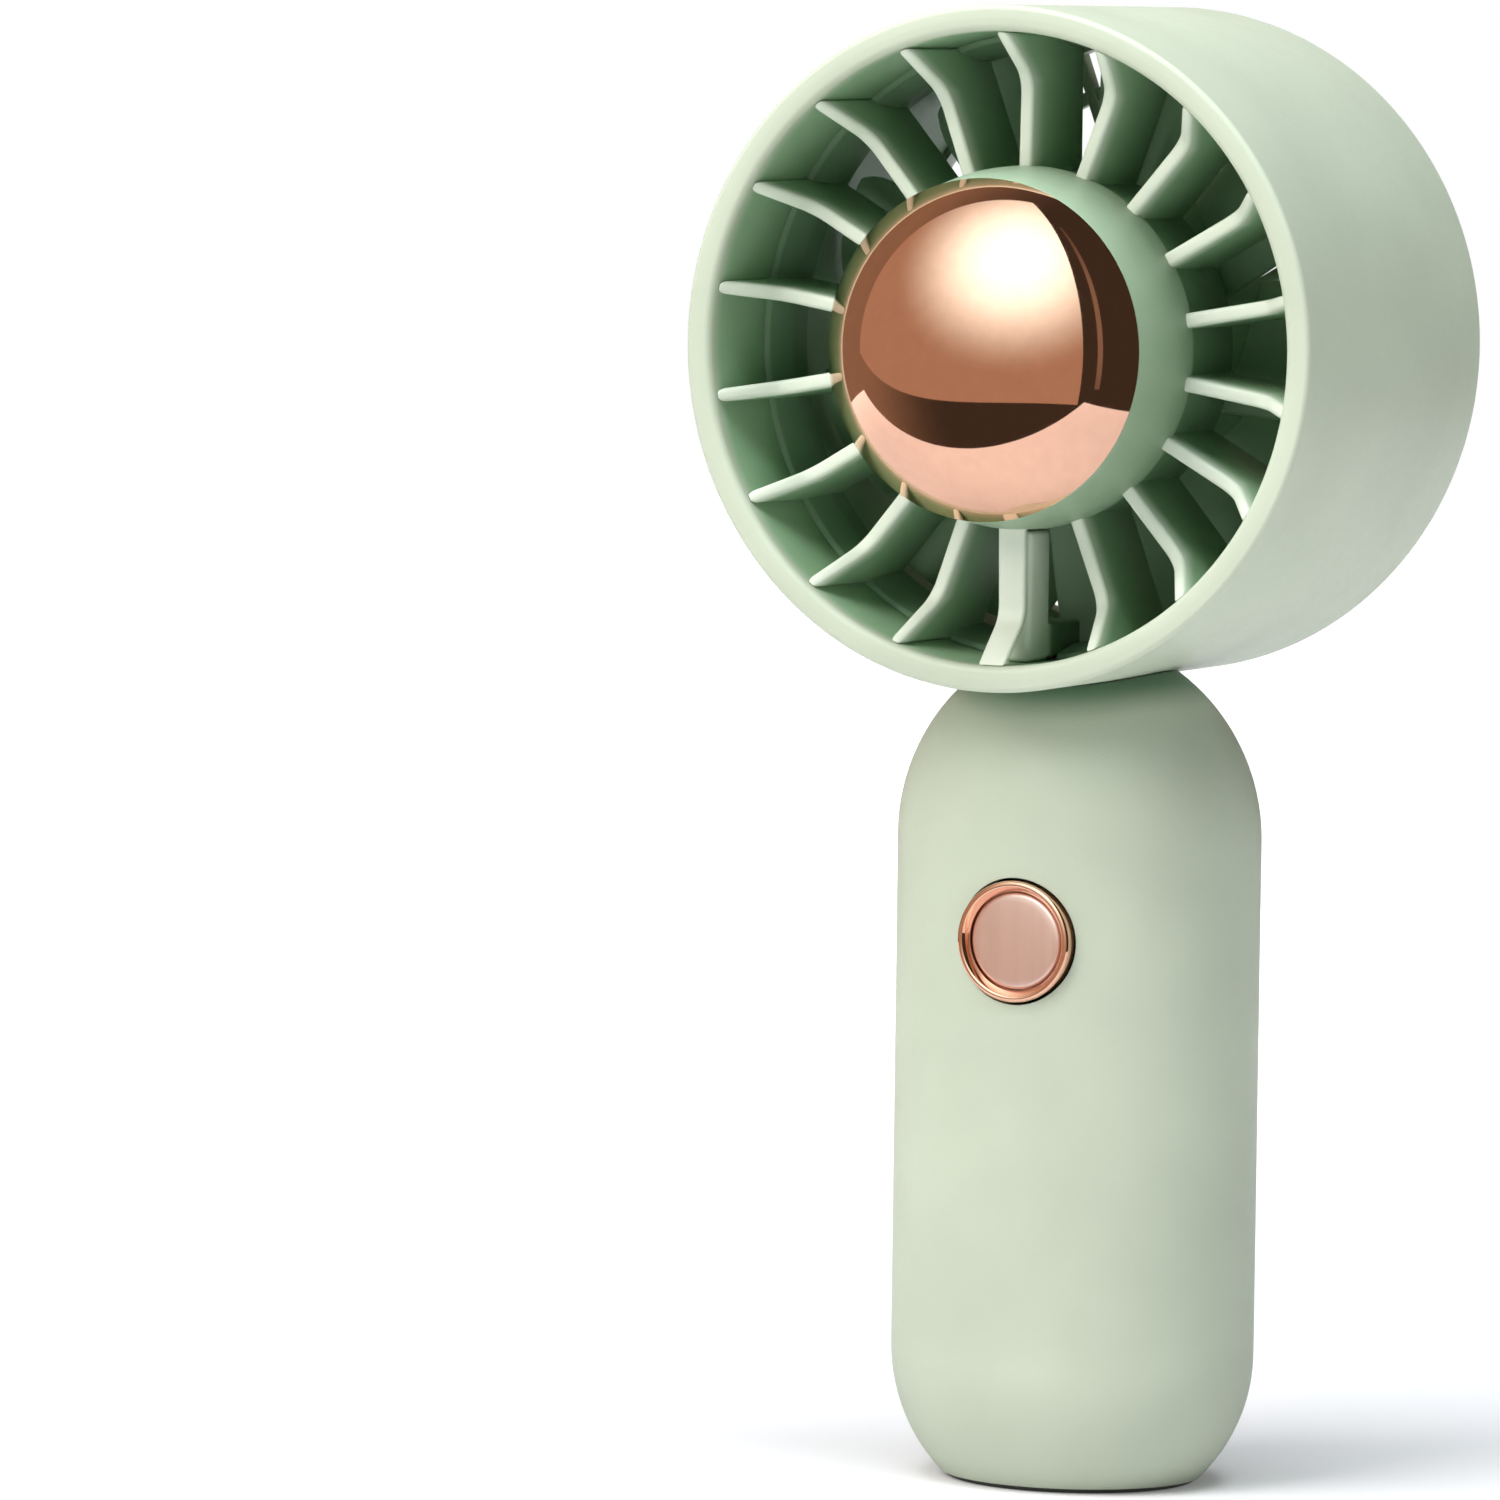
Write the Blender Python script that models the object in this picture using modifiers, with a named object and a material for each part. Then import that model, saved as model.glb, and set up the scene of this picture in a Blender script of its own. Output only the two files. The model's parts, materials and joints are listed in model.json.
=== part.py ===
"""Handheld electric fan: a round fan head standing on an oval handle.

Frame: +Z up, the air outlet faces -Y, and the origin is the centre of the flat base.
Every dimension is in millimetres, and the make_ functions turn them into metres.
"""

import math

import bmesh
import bpy
from mathutils import Matrix, Vector

MM = 0.001
GAP = 0.3                    # clearance between pieces that touch on the real object

# Head: a drum lying along Y
HEAD_Z = 113.8
DRUM_RADIUS = 33.6
DRUM_BORE = 31.0
DRUM_FRONT = -22.0
DRUM_REAR = 22.0
LIP_RADIUS = 31.8            # where the flat front edge turns into the bore's rounded mouth
LIP_DEPTH = 0.9
REAR_SEAT_RADIUS = 32.3      # wider bore that takes the rear grille
REAR_SEAT_Y = 18.6

# Front grille: a hub cup held by radial vanes
VANE_COUNT = 18
VANE_THICKNESS = 1.4
VANE_TIP_RADIUS = DRUM_BORE - GAP
VANE_BACK_Y = -3.2
VANE_ROOT_Y = -15.2
VANE_KINK_RADIUS = 26.4
VANE_KINK_Y = -14.9
VANE_TIP_Y = -21.1
GRILLE_RING_BORE = 29.5
GRILLE_RING_FRONT = -10.0
HUB_FRONT_Y = -24.05
HUB_FRONT_RADIUS = 16.75
HUB_RIDGE_Y = -14.0
HUB_RIDGE_RADIUS = 17.9
HUB_RADIUS = 17.5
HUB_BORE = 15.2
MOTOR_WALL_FRONT = -7.2
MOTOR_WALL_REAR = -5.4

# Six o'clock strut: a wide front rib with the wire conduit behind it
RIB_WIDTH = 2.9
RIB_DEPTH = 0.9
RIB_FORWARD = 1.9            # how far the rib stands in front of the other vanes
CONDUIT_FRONT = -15.6
CONDUIT_REAR = -10.8
CONDUIT_WALL = 0.7
CONDUIT_BORE = 1.5           # width of the wires' way
CONDUIT_FOOT_REAR = -3.5     # the foot covers the wires as far back as the neck
CONDUIT_FOOT_BORE = 2.7      # how high the wires' way is inside the foot
NOTCH_WIDTH = 3.6            # gap in the seating ring that the conduit's foot stands in
NOTCH_HEIGHT = 4.2

# Polished dome on the hub
CAP_RIM_Y = HUB_FRONT_Y - GAP
CAP_HEIGHT = 9.0
CAP_WALL = 1.0
CAP_SKIRT_RADIUS = HUB_BORE - GAP
CAP_SKIRT_Y = -22.2

# Motor: a flat brushed can motor inside the hub
CAN_RADIUS = 12.2
CAN_WALL = 0.8
CAN_FRONT = -19.8
CAN_REAR = -7.5
BOSS_RADIUS = 3.3
BOSS_REAR = -5.6
BUSH_SEAT = 2.6
BUSH_RADIUS = 2.3
SHAFT_HOLE = 1.25
SHAFT_RADIUS = 0.95
MOTOR_SCREW_X = 6.5
CORE_RADIUS = 9.5
CORE_FRONT = -16.5
CORE_REAR = -11.5
POLE_COUNT = 3
POLE_SPREAD = 45.0           # degrees from a pole's middle to the end of its shoe
POLE_HALF_WIDTH = 1.3
POLE_ROOT = 2.9
POLE_NECK = 7.5
POLE_SHOE = 7.9
COIL_RADIUS = 5.0
COIL_THICKNESS = 2.8
COIL_GROWTH = 1.6

# Impeller behind the grille
IMPELLER_FRONT = -2.6
IMPELLER_HUB = 16.2
IMPELLER_WALL = 1.4
BLADE_COUNT = 9
BLADE_TIP_RADIUS = 30.2
BLADE_CENTRE_Y = 4.4
BLADE_CHORD = 17.0
BLADE_THICKNESS = 1.1
BLADE_PITCH_ROOT = math.radians(42.0)
BLADE_PITCH_TIP = math.radians(27.0)

# Rear grille
REAR_GRILLE_FRONT = 18.9
REAR_GRILLE_REAR = 21.8
REAR_BAR_COUNT = 18
REAR_BAR_THICKNESS = 1.2
REAR_DISC_RADIUS = 12.0
REAR_RINGS = (20.0, 26.0)

# Handle: an oval sleeve with rounded ends
HANDLE_A = 18.8              # half the width
HANDLE_B = 15.05             # half the depth
HANDLE_WALL = 1.8
HANDLE_FLOOR = 0.7           # underside of the sleeve, above the foot
LOWER_END_Z = 13.5           # the straight part runs from here
UPPER_END_Z = 64.5           # to here
LOWER_END_RADIUS = 18.2
UPPER_END_RADIUS = 20.5
SHELF_LOW = 66.0
SHELF_HIGH = 68.0
FOOT_HEIGHT = 0.4

# Back cover of the handle
COVER_HALF_WIDTH = 12.0
COVER_LOW = 9.0
COVER_HIGH = 61.5
COVER_SCREW_Z = (12.0, 58.4)

# Neck: the drum's foot that plugs into the handle
NECK_A = 8.4
NECK_B = 7.2
NECK_LOW = SHELF_HIGH + GAP
NECK_SCREW_X = 6.0
WIRE_BORE_Y = -3.2
WIRE_BORE_RADIUS = 3.4

# Battery and its cradle
CELL_Y = 3.0
CELL_RADIUS = 7.0
CELL_LOW = 15.5
CELL_HIGH = 55.0
CRADLE_BORE = 7.35
CRADLE_RADIUS = 8.55
CRADLE_LOW = 9.7
CRADLE_HIGH = 61.0

# Circuit board and what it carries
PCB_FRONT = -9.9
PCB_REAR = -8.9
PCB_HALF_WIDTH = 6.0
PCB_LOW = 4.0
PCB_HIGH = 62.0
PCB_SCREW_Z = (22.0, 46.0)
PORT_Y = -7.0
PORT_LOW = 1.7
PORT_HIGH = 9.0

# Power button
BUTTON_Z = 55.2
BEZEL_FRONT = -15.65
BEZEL_RADIUS = 6.05
BEZEL_BORE = 5.0
BEZEL_REAR = -14.0
BUTTON_RADIUS = 4.7
BUTTON_FRONT = -15.0
BUTTON_FLANGE_RADIUS = 5.7
BUTTON_FLANGE_FRONT = -13.7
BUTTON_REAR = -13.1

FACE_FRONT = (math.radians(90.0), 0.0, 0.0)   # turns local +Z to the front, -Y


# ---------------------------------------------------------------- helpers

def clear_scene():
    for old in list(bpy.data.objects):
        bpy.data.objects.remove(old, do_unlink=True)


def make_collection(name):
    collection = bpy.data.collections.new(name)
    bpy.context.scene.collection.children.link(collection)
    return collection


def make_material(name, colour, roughness, metallic=0.0):
    material = bpy.data.materials.new(name)
    material.use_nodes = True
    shader = material.node_tree.nodes["Principled BSDF"]
    shader.inputs["Base Color"].default_value = (*colour, 1.0)
    shader.inputs["Roughness"].default_value = roughness
    shader.inputs["Metallic"].default_value = metallic
    material.diffuse_color = (*colour, 1.0)
    return material


def make_object(name, mesh, place=(0.0, 0.0, 0.0), turn=(0.0, 0.0, 0.0), material=None):
    """Put a mesh in the scene: with a material it is a sub-part, without one a cutter."""
    thing = bpy.data.objects.new(name, mesh)
    thing.location = Vector(place) * MM
    thing.rotation_euler = turn
    if material is None:
        CUTTERS.objects.link(thing)
        thing.hide_render = True
        thing.display_type = "WIRE"
    else:
        PARTS.objects.link(thing)
        mesh.materials.clear()
        mesh.materials.append(material)
    return thing


def combine(target, tool, operation="DIFFERENCE"):
    modifier = target.modifiers.new(tool.name, "BOOLEAN")
    modifier.operation = operation
    modifier.solver = "EXACT"
    modifier.object = tool


def make_turned(name, profile, steps, material=None):
    """Turn a (radius, y) profile about the head's axis, its outer side running to the rear."""
    mesh = bpy.data.meshes.new(name)
    points = [(radius * MM, 0.0, -y * MM) for radius, y in profile]
    edges = [(index, index + 1) for index in range(len(points) - 1)]
    if profile[0][0] > 0.0:
        edges.append((len(points) - 1, 0))
    mesh.from_pydata(points, edges, [])
    thing = make_object(name, mesh, (0.0, 0.0, HEAD_Z), FACE_FRONT, material)
    screw = thing.modifiers.new("turn", "SCREW")
    screw.axis = "Z"
    screw.steps = steps
    screw.render_steps = steps
    screw.use_merge_vertices = True
    screw.merge_threshold = 0.00001
    screw.use_smooth_shade = True
    return thing


def rod_mesh(name, length, radius, segments=16):
    mesh = bpy.data.meshes.new(name)
    shape = bmesh.new()
    bmesh.ops.create_cone(shape, cap_ends=True, segments=segments, radius1=radius * MM,
                          radius2=radius * MM, depth=length * MM)
    shape.to_mesh(mesh)
    shape.free()
    mesh.shade_smooth()
    mesh.set_sharp_from_angle(angle=math.radians(40.0))
    return mesh


def make_rod_y(name, x, z, front, rear, radius, material=None, segments=16):
    mesh = rod_mesh(name, rear - front, radius, segments)
    return make_object(name, mesh, (x, (front + rear) / 2.0, z), FACE_FRONT, material)


def make_rod_z(name, x, y, low, high, radius, material=None, segments=16):
    mesh = rod_mesh(name, high - low, radius, segments)
    return make_object(name, mesh, (x, y, (low + high) / 2.0), material=material)


def make_block(name, low, high, material=None, round_y=0.0):
    """A box between two corners; round_y rounds its edges that run along Y."""
    size = [b - a for a, b in zip(low, high)]
    centre = [(a + b) / 2.0 for a, b in zip(low, high)]
    mesh = bpy.data.meshes.new(name)
    shape = bmesh.new()
    bmesh.ops.create_cube(shape, size=1.0)
    bmesh.ops.scale(shape, vec=Vector(size) * MM, verts=shape.verts)
    if round_y:
        edges = [e for e in shape.edges if abs((e.verts[0].co - e.verts[1].co).y) > 1e-6]
        bmesh.ops.bevel(shape, geom=edges, offset=round_y * MM, segments=4, profile=0.5,
                        affect="EDGES")
    shape.to_mesh(mesh)
    shape.free()
    return make_object(name, mesh, centre, material=material)


def plate_mesh(name, outlines, thickness):
    """A flat plate from closed outlines in its own XY plane; later outlines are holes."""
    curve = bpy.data.curves.new(name, "CURVE")
    curve.dimensions = "2D"
    curve.fill_mode = "BOTH"
    curve.extrude = thickness / 2.0 * MM
    for outline in outlines:
        spline = curve.splines.new("POLY")
        spline.points.add(len(outline) - 1)
        for point, (x, y) in zip(spline.points, outline):
            point.co = (x * MM, y * MM, 0.0, 1.0)
        spline.use_cyclic_u = True
    holder = bpy.data.objects.new(name, curve)
    CUTTERS.objects.link(holder)
    bpy.context.view_layer.update()
    evaluated = holder.evaluated_get(bpy.context.evaluated_depsgraph_get())
    mesh = bpy.data.meshes.new_from_object(evaluated)
    bpy.data.objects.remove(holder, do_unlink=True)
    shape = bmesh.new()
    shape.from_mesh(mesh)
    bmesh.ops.remove_doubles(shape, verts=shape.verts, dist=0.000001)
    bmesh.ops.recalc_face_normals(shape, faces=shape.faces)
    shape.to_mesh(mesh)
    shape.free()
    return mesh


def make_fanned(name, mesh, angles):
    """Copies of a plate around the head's axis: its X outwards and its Y along the axis."""
    fanned = bpy.data.meshes.new(name)
    shape = bmesh.new()
    for angle in angles:
        outwards = Vector((math.cos(angle), 0.0, math.sin(angle)))
        along = Vector((0.0, 1.0, 0.0))
        turn = Matrix((outwards, along, outwards.cross(along))).transposed().to_4x4()
        first = len(shape.verts)
        shape.from_mesh(mesh)
        shape.verts.ensure_lookup_table()
        bmesh.ops.transform(shape, matrix=turn, verts=shape.verts[first:])
    shape.to_mesh(fanned)
    shape.free()
    return make_object(name, fanned, (0.0, 0.0, HEAD_Z))


def make_oval(name, sections, material=None, segments=36):
    """A closed solid through oval sections, each (z, half width, half depth)."""
    mesh = bpy.data.meshes.new(name)
    shape = bmesh.new()
    rings = []
    for z, half_width, half_depth in sections:
        ring = []
        for step in range(segments):
            angle = 2.0 * math.pi * step / segments
            x = half_width * math.cos(angle)
            y = half_depth * math.sin(angle)
            ring.append(shape.verts.new((x * MM, y * MM, z * MM)))
        rings.append(ring)
    for lower, upper in zip(rings, rings[1:]):
        for step in range(segments):
            after = (step + 1) % segments
            shape.faces.new((lower[step], lower[after], upper[after], upper[step]))
    shape.faces.new(list(reversed(rings[0])))
    shape.faces.new(rings[-1])
    shape.to_mesh(mesh)
    shape.free()
    return make_object(name, mesh, material=material)


def smooth_route(points, steps=3):
    """Points along a Catmull-Rom curve through the given ones."""
    knots = [Vector(p) for p in points]
    padded = [knots[0] * 2.0 - knots[1], *knots, knots[-1] * 2.0 - knots[-2]]
    route = []
    for before, start, end, after in zip(padded, padded[1:], padded[2:], padded[3:]):
        for step in range(steps):
            t = step / steps
            route.append(0.5 * (2.0 * start + (end - before) * t
                                + (2.0 * before - 5.0 * start + 4.0 * end - after) * t ** 2
                                + (3.0 * start - before - 3.0 * end + after) * t ** 3))
    route.append(knots[-1])
    return route


def make_wire(name, points, radius, material):
    curve = bpy.data.curves.new(name, "CURVE")
    curve.dimensions = "3D"
    curve.bevel_depth = radius * MM
    curve.bevel_resolution = 1
    curve.use_fill_caps = True
    route = smooth_route(points)
    spline = curve.splines.new("POLY")
    spline.points.add(len(route) - 1)
    for point, place in zip(spline.points, route):
        point.co = (*(place * MM), 1.0)
    wire = bpy.data.objects.new(name, curve)
    curve.materials.append(material)
    PARTS.objects.link(wire)
    return wire


def polar(radius, degrees, centre=(0.0, 0.0)):
    angle = math.radians(degrees)
    return (centre[0] + radius * math.cos(angle), centre[1] + radius * math.sin(angle))


def arc(radius, start, end, steps, centre=(0.0, 0.0)):
    """Points on a circle from one angle in degrees to another."""
    return [polar(radius, start + (end - start) * step / steps, centre)
            for step in range(steps + 1)]


def oval_width(z):
    """Half the handle's width at a height: straight, with an arc at each end."""
    if z < LOWER_END_Z:
        rise = LOWER_END_Z - z
        return HANDLE_A - LOWER_END_RADIUS + math.sqrt(LOWER_END_RADIUS ** 2 - rise ** 2)
    if z > UPPER_END_Z:
        rise = z - UPPER_END_Z
        return HANDLE_A - UPPER_END_RADIUS + math.sqrt(UPPER_END_RADIUS ** 2 - rise ** 2)
    return HANDLE_A


def oval_depth(z):
    """Half the handle's depth: in the width's ratio, and fuller towards the base."""
    ratio = HANDLE_B / HANDLE_A
    if z < LOWER_END_Z:
        ratio += 0.09 * (1.0 - z / LOWER_END_Z)
    return oval_width(z) * ratio


def oval_sections(heights, inset=0.0):
    return [(z, oval_width(z) - inset, oval_depth(z) - inset) for z in heights]


# ---------------------------------------------------------------- head

def make_head_drum(material):
    edge = 0.35
    profile = [(DRUM_RADIUS - edge, DRUM_FRONT), (DRUM_RADIUS, DRUM_FRONT + edge),
               (DRUM_RADIUS, DRUM_REAR - 1.0), (DRUM_RADIUS - 0.3, DRUM_REAR - 0.3),
               (DRUM_RADIUS - 0.8, DRUM_REAR), (REAR_SEAT_RADIUS, DRUM_REAR),
               (REAR_SEAT_RADIUS, REAR_SEAT_Y), (DRUM_BORE, REAR_SEAT_Y),
               (DRUM_BORE, DRUM_FRONT + LIP_DEPTH), (DRUM_BORE + 0.25, DRUM_FRONT + 0.3),
               (LIP_RADIUS, DRUM_FRONT)]
    drum = make_turned("head_drum", profile, 64, material)
    heights = (NECK_LOW, HEAD_Z - DRUM_BORE + 2.5)
    neck = make_oval("neck_blank", [(z, NECK_A, NECK_B) for z in heights], segments=32)
    bore = make_rod_y("neck_trim", 0.0, HEAD_Z, -20.0, 20.0, DRUM_BORE + 0.6, segments=72)
    combine(neck, bore)
    combine(drum, neck, "UNION")
    combine(drum, make_rod_z("neck_wire_bore", 0.0, WIRE_BORE_Y, NECK_LOW - 1.0, 86.0,
                             WIRE_BORE_RADIUS, segments=20))
    for side, x in (("left", -NECK_SCREW_X), ("right", NECK_SCREW_X)):
        combine(drum, make_rod_z("neck_pilot_" + side, x, 0.0, NECK_LOW - 1.0, 75.5, 1.2,
                                 segments=12))
    return drum


def make_front_grille(material):
    profile = [(HUB_FRONT_RADIUS, HUB_FRONT_Y), (HUB_RIDGE_RADIUS, HUB_RIDGE_Y),
               (HUB_RADIUS, HUB_RIDGE_Y + 0.4), (HUB_RADIUS, VANE_BACK_Y), (16.0, VANE_BACK_Y),
               (16.0, MOTOR_WALL_REAR), (BOSS_RADIUS + GAP, MOTOR_WALL_REAR),
               (BOSS_RADIUS + GAP, MOTOR_WALL_FRONT), (HUB_BORE, MOTOR_WALL_FRONT),
               (HUB_BORE, HUB_FRONT_Y)]
    grille = make_turned("front_grille", profile, 45, material)
    root = HUB_RADIUS - 0.9
    outline = [(root, VANE_ROOT_Y), (VANE_KINK_RADIUS, VANE_KINK_Y),
               (VANE_TIP_RADIUS, VANE_TIP_Y), (VANE_TIP_RADIUS, VANE_BACK_Y), (root, VANE_BACK_Y)]
    vane = plate_mesh("vane", [outline], VANE_THICKNESS)
    angles = [math.radians(90.0 + 360.0 * index / VANE_COUNT) for index in range(VANE_COUNT)
              if index != VANE_COUNT // 2]
    ring_profile = [(VANE_TIP_RADIUS, GRILLE_RING_FRONT), (VANE_TIP_RADIUS, VANE_BACK_Y),
                    (GRILLE_RING_BORE, VANE_BACK_Y), (GRILLE_RING_BORE, GRILLE_RING_FRONT)]
    combine(grille, make_fanned("grille_vanes", vane, angles), "UNION")
    combine(grille, make_turned("grille_ring", ring_profile, 54), "UNION")
    front = [(root, VANE_ROOT_Y - RIB_FORWARD), (VANE_KINK_RADIUS, VANE_KINK_Y - RIB_FORWARD),
             (VANE_TIP_RADIUS, VANE_TIP_Y - 0.4)]
    back = [(radius, y + RIB_DEPTH) for radius, y in reversed(front)]
    rib = plate_mesh("rib", [front + back], RIB_WIDTH)
    combine(grille, make_fanned("grille_rib", rib, [math.radians(270.0)]), "UNION")
    floor = HEAD_Z - DRUM_BORE
    combine(grille, make_block("ring_notch", (-NOTCH_WIDTH / 2.0, GRILLE_RING_FRONT - 1.0,
                                              floor - 1.0),
                               (NOTCH_WIDTH / 2.0, VANE_BACK_Y + 1.0, floor + NOTCH_HEIGHT)))
    combine(grille, make_block("hub_wire_slot", (-CONDUIT_BORE / 2.0, CONDUIT_FRONT - 0.6,
                                                 HEAD_Z - HUB_RIDGE_RADIUS - 1.0),
                               (CONDUIT_BORE / 2.0, CONDUIT_REAR - CONDUIT_WALL,
                                HEAD_Z - HUB_BORE + 1.0)))
    for side, x in (("left", -MOTOR_SCREW_X), ("right", MOTOR_SCREW_X)):
        combine(grille, make_rod_y("wall_hole_" + side, x, HEAD_Z, -9.0, -4.0, SHAFT_HOLE,
                                   segments=12))
    return grille


def make_wire_conduit(material):
    """A hollow bar from the hub down to the drum, with a foot that runs back to the neck."""
    half = RIB_WIDTH / 2.0
    half_bore = CONDUIT_BORE / 2.0
    low = HEAD_Z - VANE_TIP_RADIUS + 0.1
    high = HEAD_Z - HUB_RIDGE_RADIUS - GAP
    entry_top = low + CONDUIT_FOOT_BORE
    inside_rear = CONDUIT_REAR - CONDUIT_WALL
    conduit = make_block("wire_conduit", (-half, CONDUIT_FRONT, low), (half, CONDUIT_REAR, high),
                         material)
    combine(conduit, make_block("conduit_foot", (-half, inside_rear, low),
                                (half, CONDUIT_FOOT_REAR, entry_top + CONDUIT_WALL)), "UNION")
    combine(conduit, make_block("conduit_bore", (-half_bore, CONDUIT_FRONT + CONDUIT_WALL,
                                                 low - 1.0),
                                (half_bore, inside_rear, high + 1.0)))
    combine(conduit, make_block("conduit_entry", (-half_bore, inside_rear - 1.0, low - 1.0),
                                (half_bore, CONDUIT_FOOT_REAR + 1.0, entry_top)))
    return conduit


def dome_points(radius, rim_y, height, steps):
    """Points of a round cap from its top on the axis out to its rim."""
    ball = (radius ** 2 + height ** 2) / (2.0 * height)
    edge = math.asin(radius / ball)
    centre = rim_y - height + ball
    points = []
    for step in range(steps + 1):
        angle = edge * step / steps
        points.append((ball * math.sin(angle), centre - ball * math.cos(angle)))
    return points


def make_hub_cap(material):
    inner_rim = CAP_SKIRT_RADIUS - 1.0
    outer = dome_points(HUB_FRONT_RADIUS, CAP_RIM_Y, CAP_HEIGHT, 7)
    inner = dome_points(inner_rim, CAP_RIM_Y - 0.6, CAP_HEIGHT - CAP_WALL - 0.8, 4)
    profile = outer + [(CAP_SKIRT_RADIUS, CAP_RIM_Y), (CAP_SKIRT_RADIUS, CAP_SKIRT_Y),
                       (inner_rim, CAP_SKIRT_Y)] + inner[::-1]
    return make_turned("hub_cap", profile, 42, material)


def make_rear_grille(material):
    def ring(name, outer, inner, front, rear, owner=None):
        corners = [(outer, front), (outer, rear), (inner, rear), (inner, front)]
        return make_turned(name, corners, 40, owner)

    grille = ring("rear_grille", REAR_SEAT_RADIUS - GAP, 30.4, REAR_GRILLE_FRONT,
                  REAR_GRILLE_REAR, material)
    for index, radius in enumerate(REAR_RINGS):
        combine(grille, ring("rear_ring_%d" % index, radius + 0.6, radius - 0.6, 19.8, 21.2),
                "UNION")
    disc = [(0.0, 19.4), (REAR_DISC_RADIUS - 1.0, 19.4), (REAR_DISC_RADIUS, 20.2),
            (REAR_DISC_RADIUS - 0.6, 21.3), (REAR_DISC_RADIUS - 3.0, 21.8), (0.0, 21.9)]
    outline = [(REAR_DISC_RADIUS - 1.5, 19.6), (31.2, 19.6), (31.2, 21.4),
               (REAR_DISC_RADIUS - 1.5, 21.4)]
    bar = plate_mesh("rear_bar", [outline], REAR_BAR_THICKNESS)
    angles = [math.radians(90.0 + 360.0 * index / REAR_BAR_COUNT) for index in
              range(REAR_BAR_COUNT)]
    combine(grille, make_fanned("rear_bars", bar, angles), "UNION")
    combine(grille, make_turned("rear_disc", disc, 36), "UNION")
    return grille


# ---------------------------------------------------------------- motor and impeller

def make_motor_body(steel, plastic, bronze, magnet, rubber, screw_steel):
    inner = CAN_RADIUS - CAN_WALL
    plate = CAN_REAR - CAN_WALL
    can = make_turned("motor_can", [
        (CAN_RADIUS, CAN_FRONT), (CAN_RADIUS, CAN_REAR), (BOSS_RADIUS, CAN_REAR),
        (BOSS_RADIUS, BOSS_REAR), (BUSH_SEAT, BOSS_REAR), (BUSH_SEAT, plate), (inner, plate),
        (inner, CAN_FRONT)], 28, steel)
    for side, x in (("left", -MOTOR_SCREW_X), ("right", MOTOR_SCREW_X)):
        combine(can, make_rod_y("can_hole_" + side, x, HEAD_Z, -9.0, -7.0, SHAFT_HOLE,
                                segments=12))
        screw = make_rod_y("motor_screw_" + side, x, HEAD_Z, -8.9, -4.9, SHAFT_RADIUS,
                           screw_steel, 12)
        combine(screw, make_rod_y("motor_screw_head_" + side, x, HEAD_Z, -5.1, -4.0, 1.9),
                "UNION")
    cap = (inner - GAP, CAN_FRONT, CAN_FRONT + 1.1)
    make_turned("motor_end_cap", [(cap[0], cap[1]), (cap[0], cap[2]), (BUSH_SEAT, cap[2]),
                                  (BUSH_SEAT, cap[1])], 28, plastic)
    for name, front, rear in (("front", -19.7, -18.5), ("rear", -8.1, -5.7)):
        make_turned("motor_bush_" + name, [(BUSH_RADIUS, front), (BUSH_RADIUS, rear),
                                           (SHAFT_HOLE, rear), (SHAFT_HOLE, front)], 16, bronze)
    for name, middle in (("left", 180.0), ("right", 0.0)):
        outline = arc(11.1, middle - 55.0, middle + 55.0, 8)
        outline += arc(9.9, middle + 55.0, middle - 55.0, 8)
        mesh = plate_mesh("magnet", [outline], 7.5)
        make_object("motor_magnet_" + name, mesh, (0.0, -13.25, HEAD_Z), FACE_FRONT, magnet)
    make_turned("motor_damper_ring", [
        (HUB_BORE - GAP, -11.2), (HUB_BORE - GAP, -8.2), (CAN_RADIUS + GAP, -8.2),
        (CAN_RADIUS + GAP, -11.2)], 28, rubber)
    for side, inner_x, outer_x in (("left", -3.05, -2.7), ("right", 2.7, 3.05)):
        make_block("motor_brush_" + side, (inner_x, -18.4, HEAD_Z - 0.8),
                   (outer_x, -17.6, HEAD_Z + 0.8), bronze)


def armature_outline():
    """Three T-shaped poles round a small hub."""
    outline = []
    for pole in range(POLE_COUNT):
        middle = 90.0 + 360.0 * pole / POLE_COUNT
        start = middle - POLE_SPREAD
        end = middle + POLE_SPREAD
        outwards = Vector((math.cos(math.radians(middle)), math.sin(math.radians(middle))))
        sideways = Vector((-outwards.y, outwards.x)) * POLE_HALF_WIDTH
        outline += [tuple(outwards * POLE_ROOT - sideways), tuple(outwards * POLE_NECK - sideways)]
        outline.append(polar(POLE_SHOE, start))
        outline += arc(CORE_RADIUS, start, end, 6)
        outline.append(polar(POLE_SHOE, end))
        outline += [tuple(outwards * POLE_NECK + sideways), tuple(outwards * POLE_ROOT + sideways)]
    return outline


def make_coil(index, copper):
    """A square winding round one pole's neck."""
    middle = (CORE_FRONT + CORE_REAR) / 2.0
    half = (CORE_REAR - CORE_FRONT) / 2.0

    def loop(grow):
        wide = POLE_HALF_WIDTH + grow
        deep = half + grow
        return [(wide, deep), (-wide, deep), (-wide, -deep), (wide, -deep)]

    mesh = plate_mesh("coil", [loop(COIL_GROWTH), loop(GAP)], COIL_THICKNESS)
    angle = math.radians(90.0 + 360.0 * index / POLE_COUNT)
    outwards = Vector((math.cos(angle), 0.0, math.sin(angle)))
    along = Vector((0.0, 1.0, 0.0))
    turn = Matrix((along.cross(outwards), along, outwards)).transposed()
    place = Vector((0.0, middle, HEAD_Z)) + outwards * COIL_RADIUS
    return make_object("armature_coil_%d" % (index + 1), mesh, place, turn.to_euler(), copper)


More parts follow.
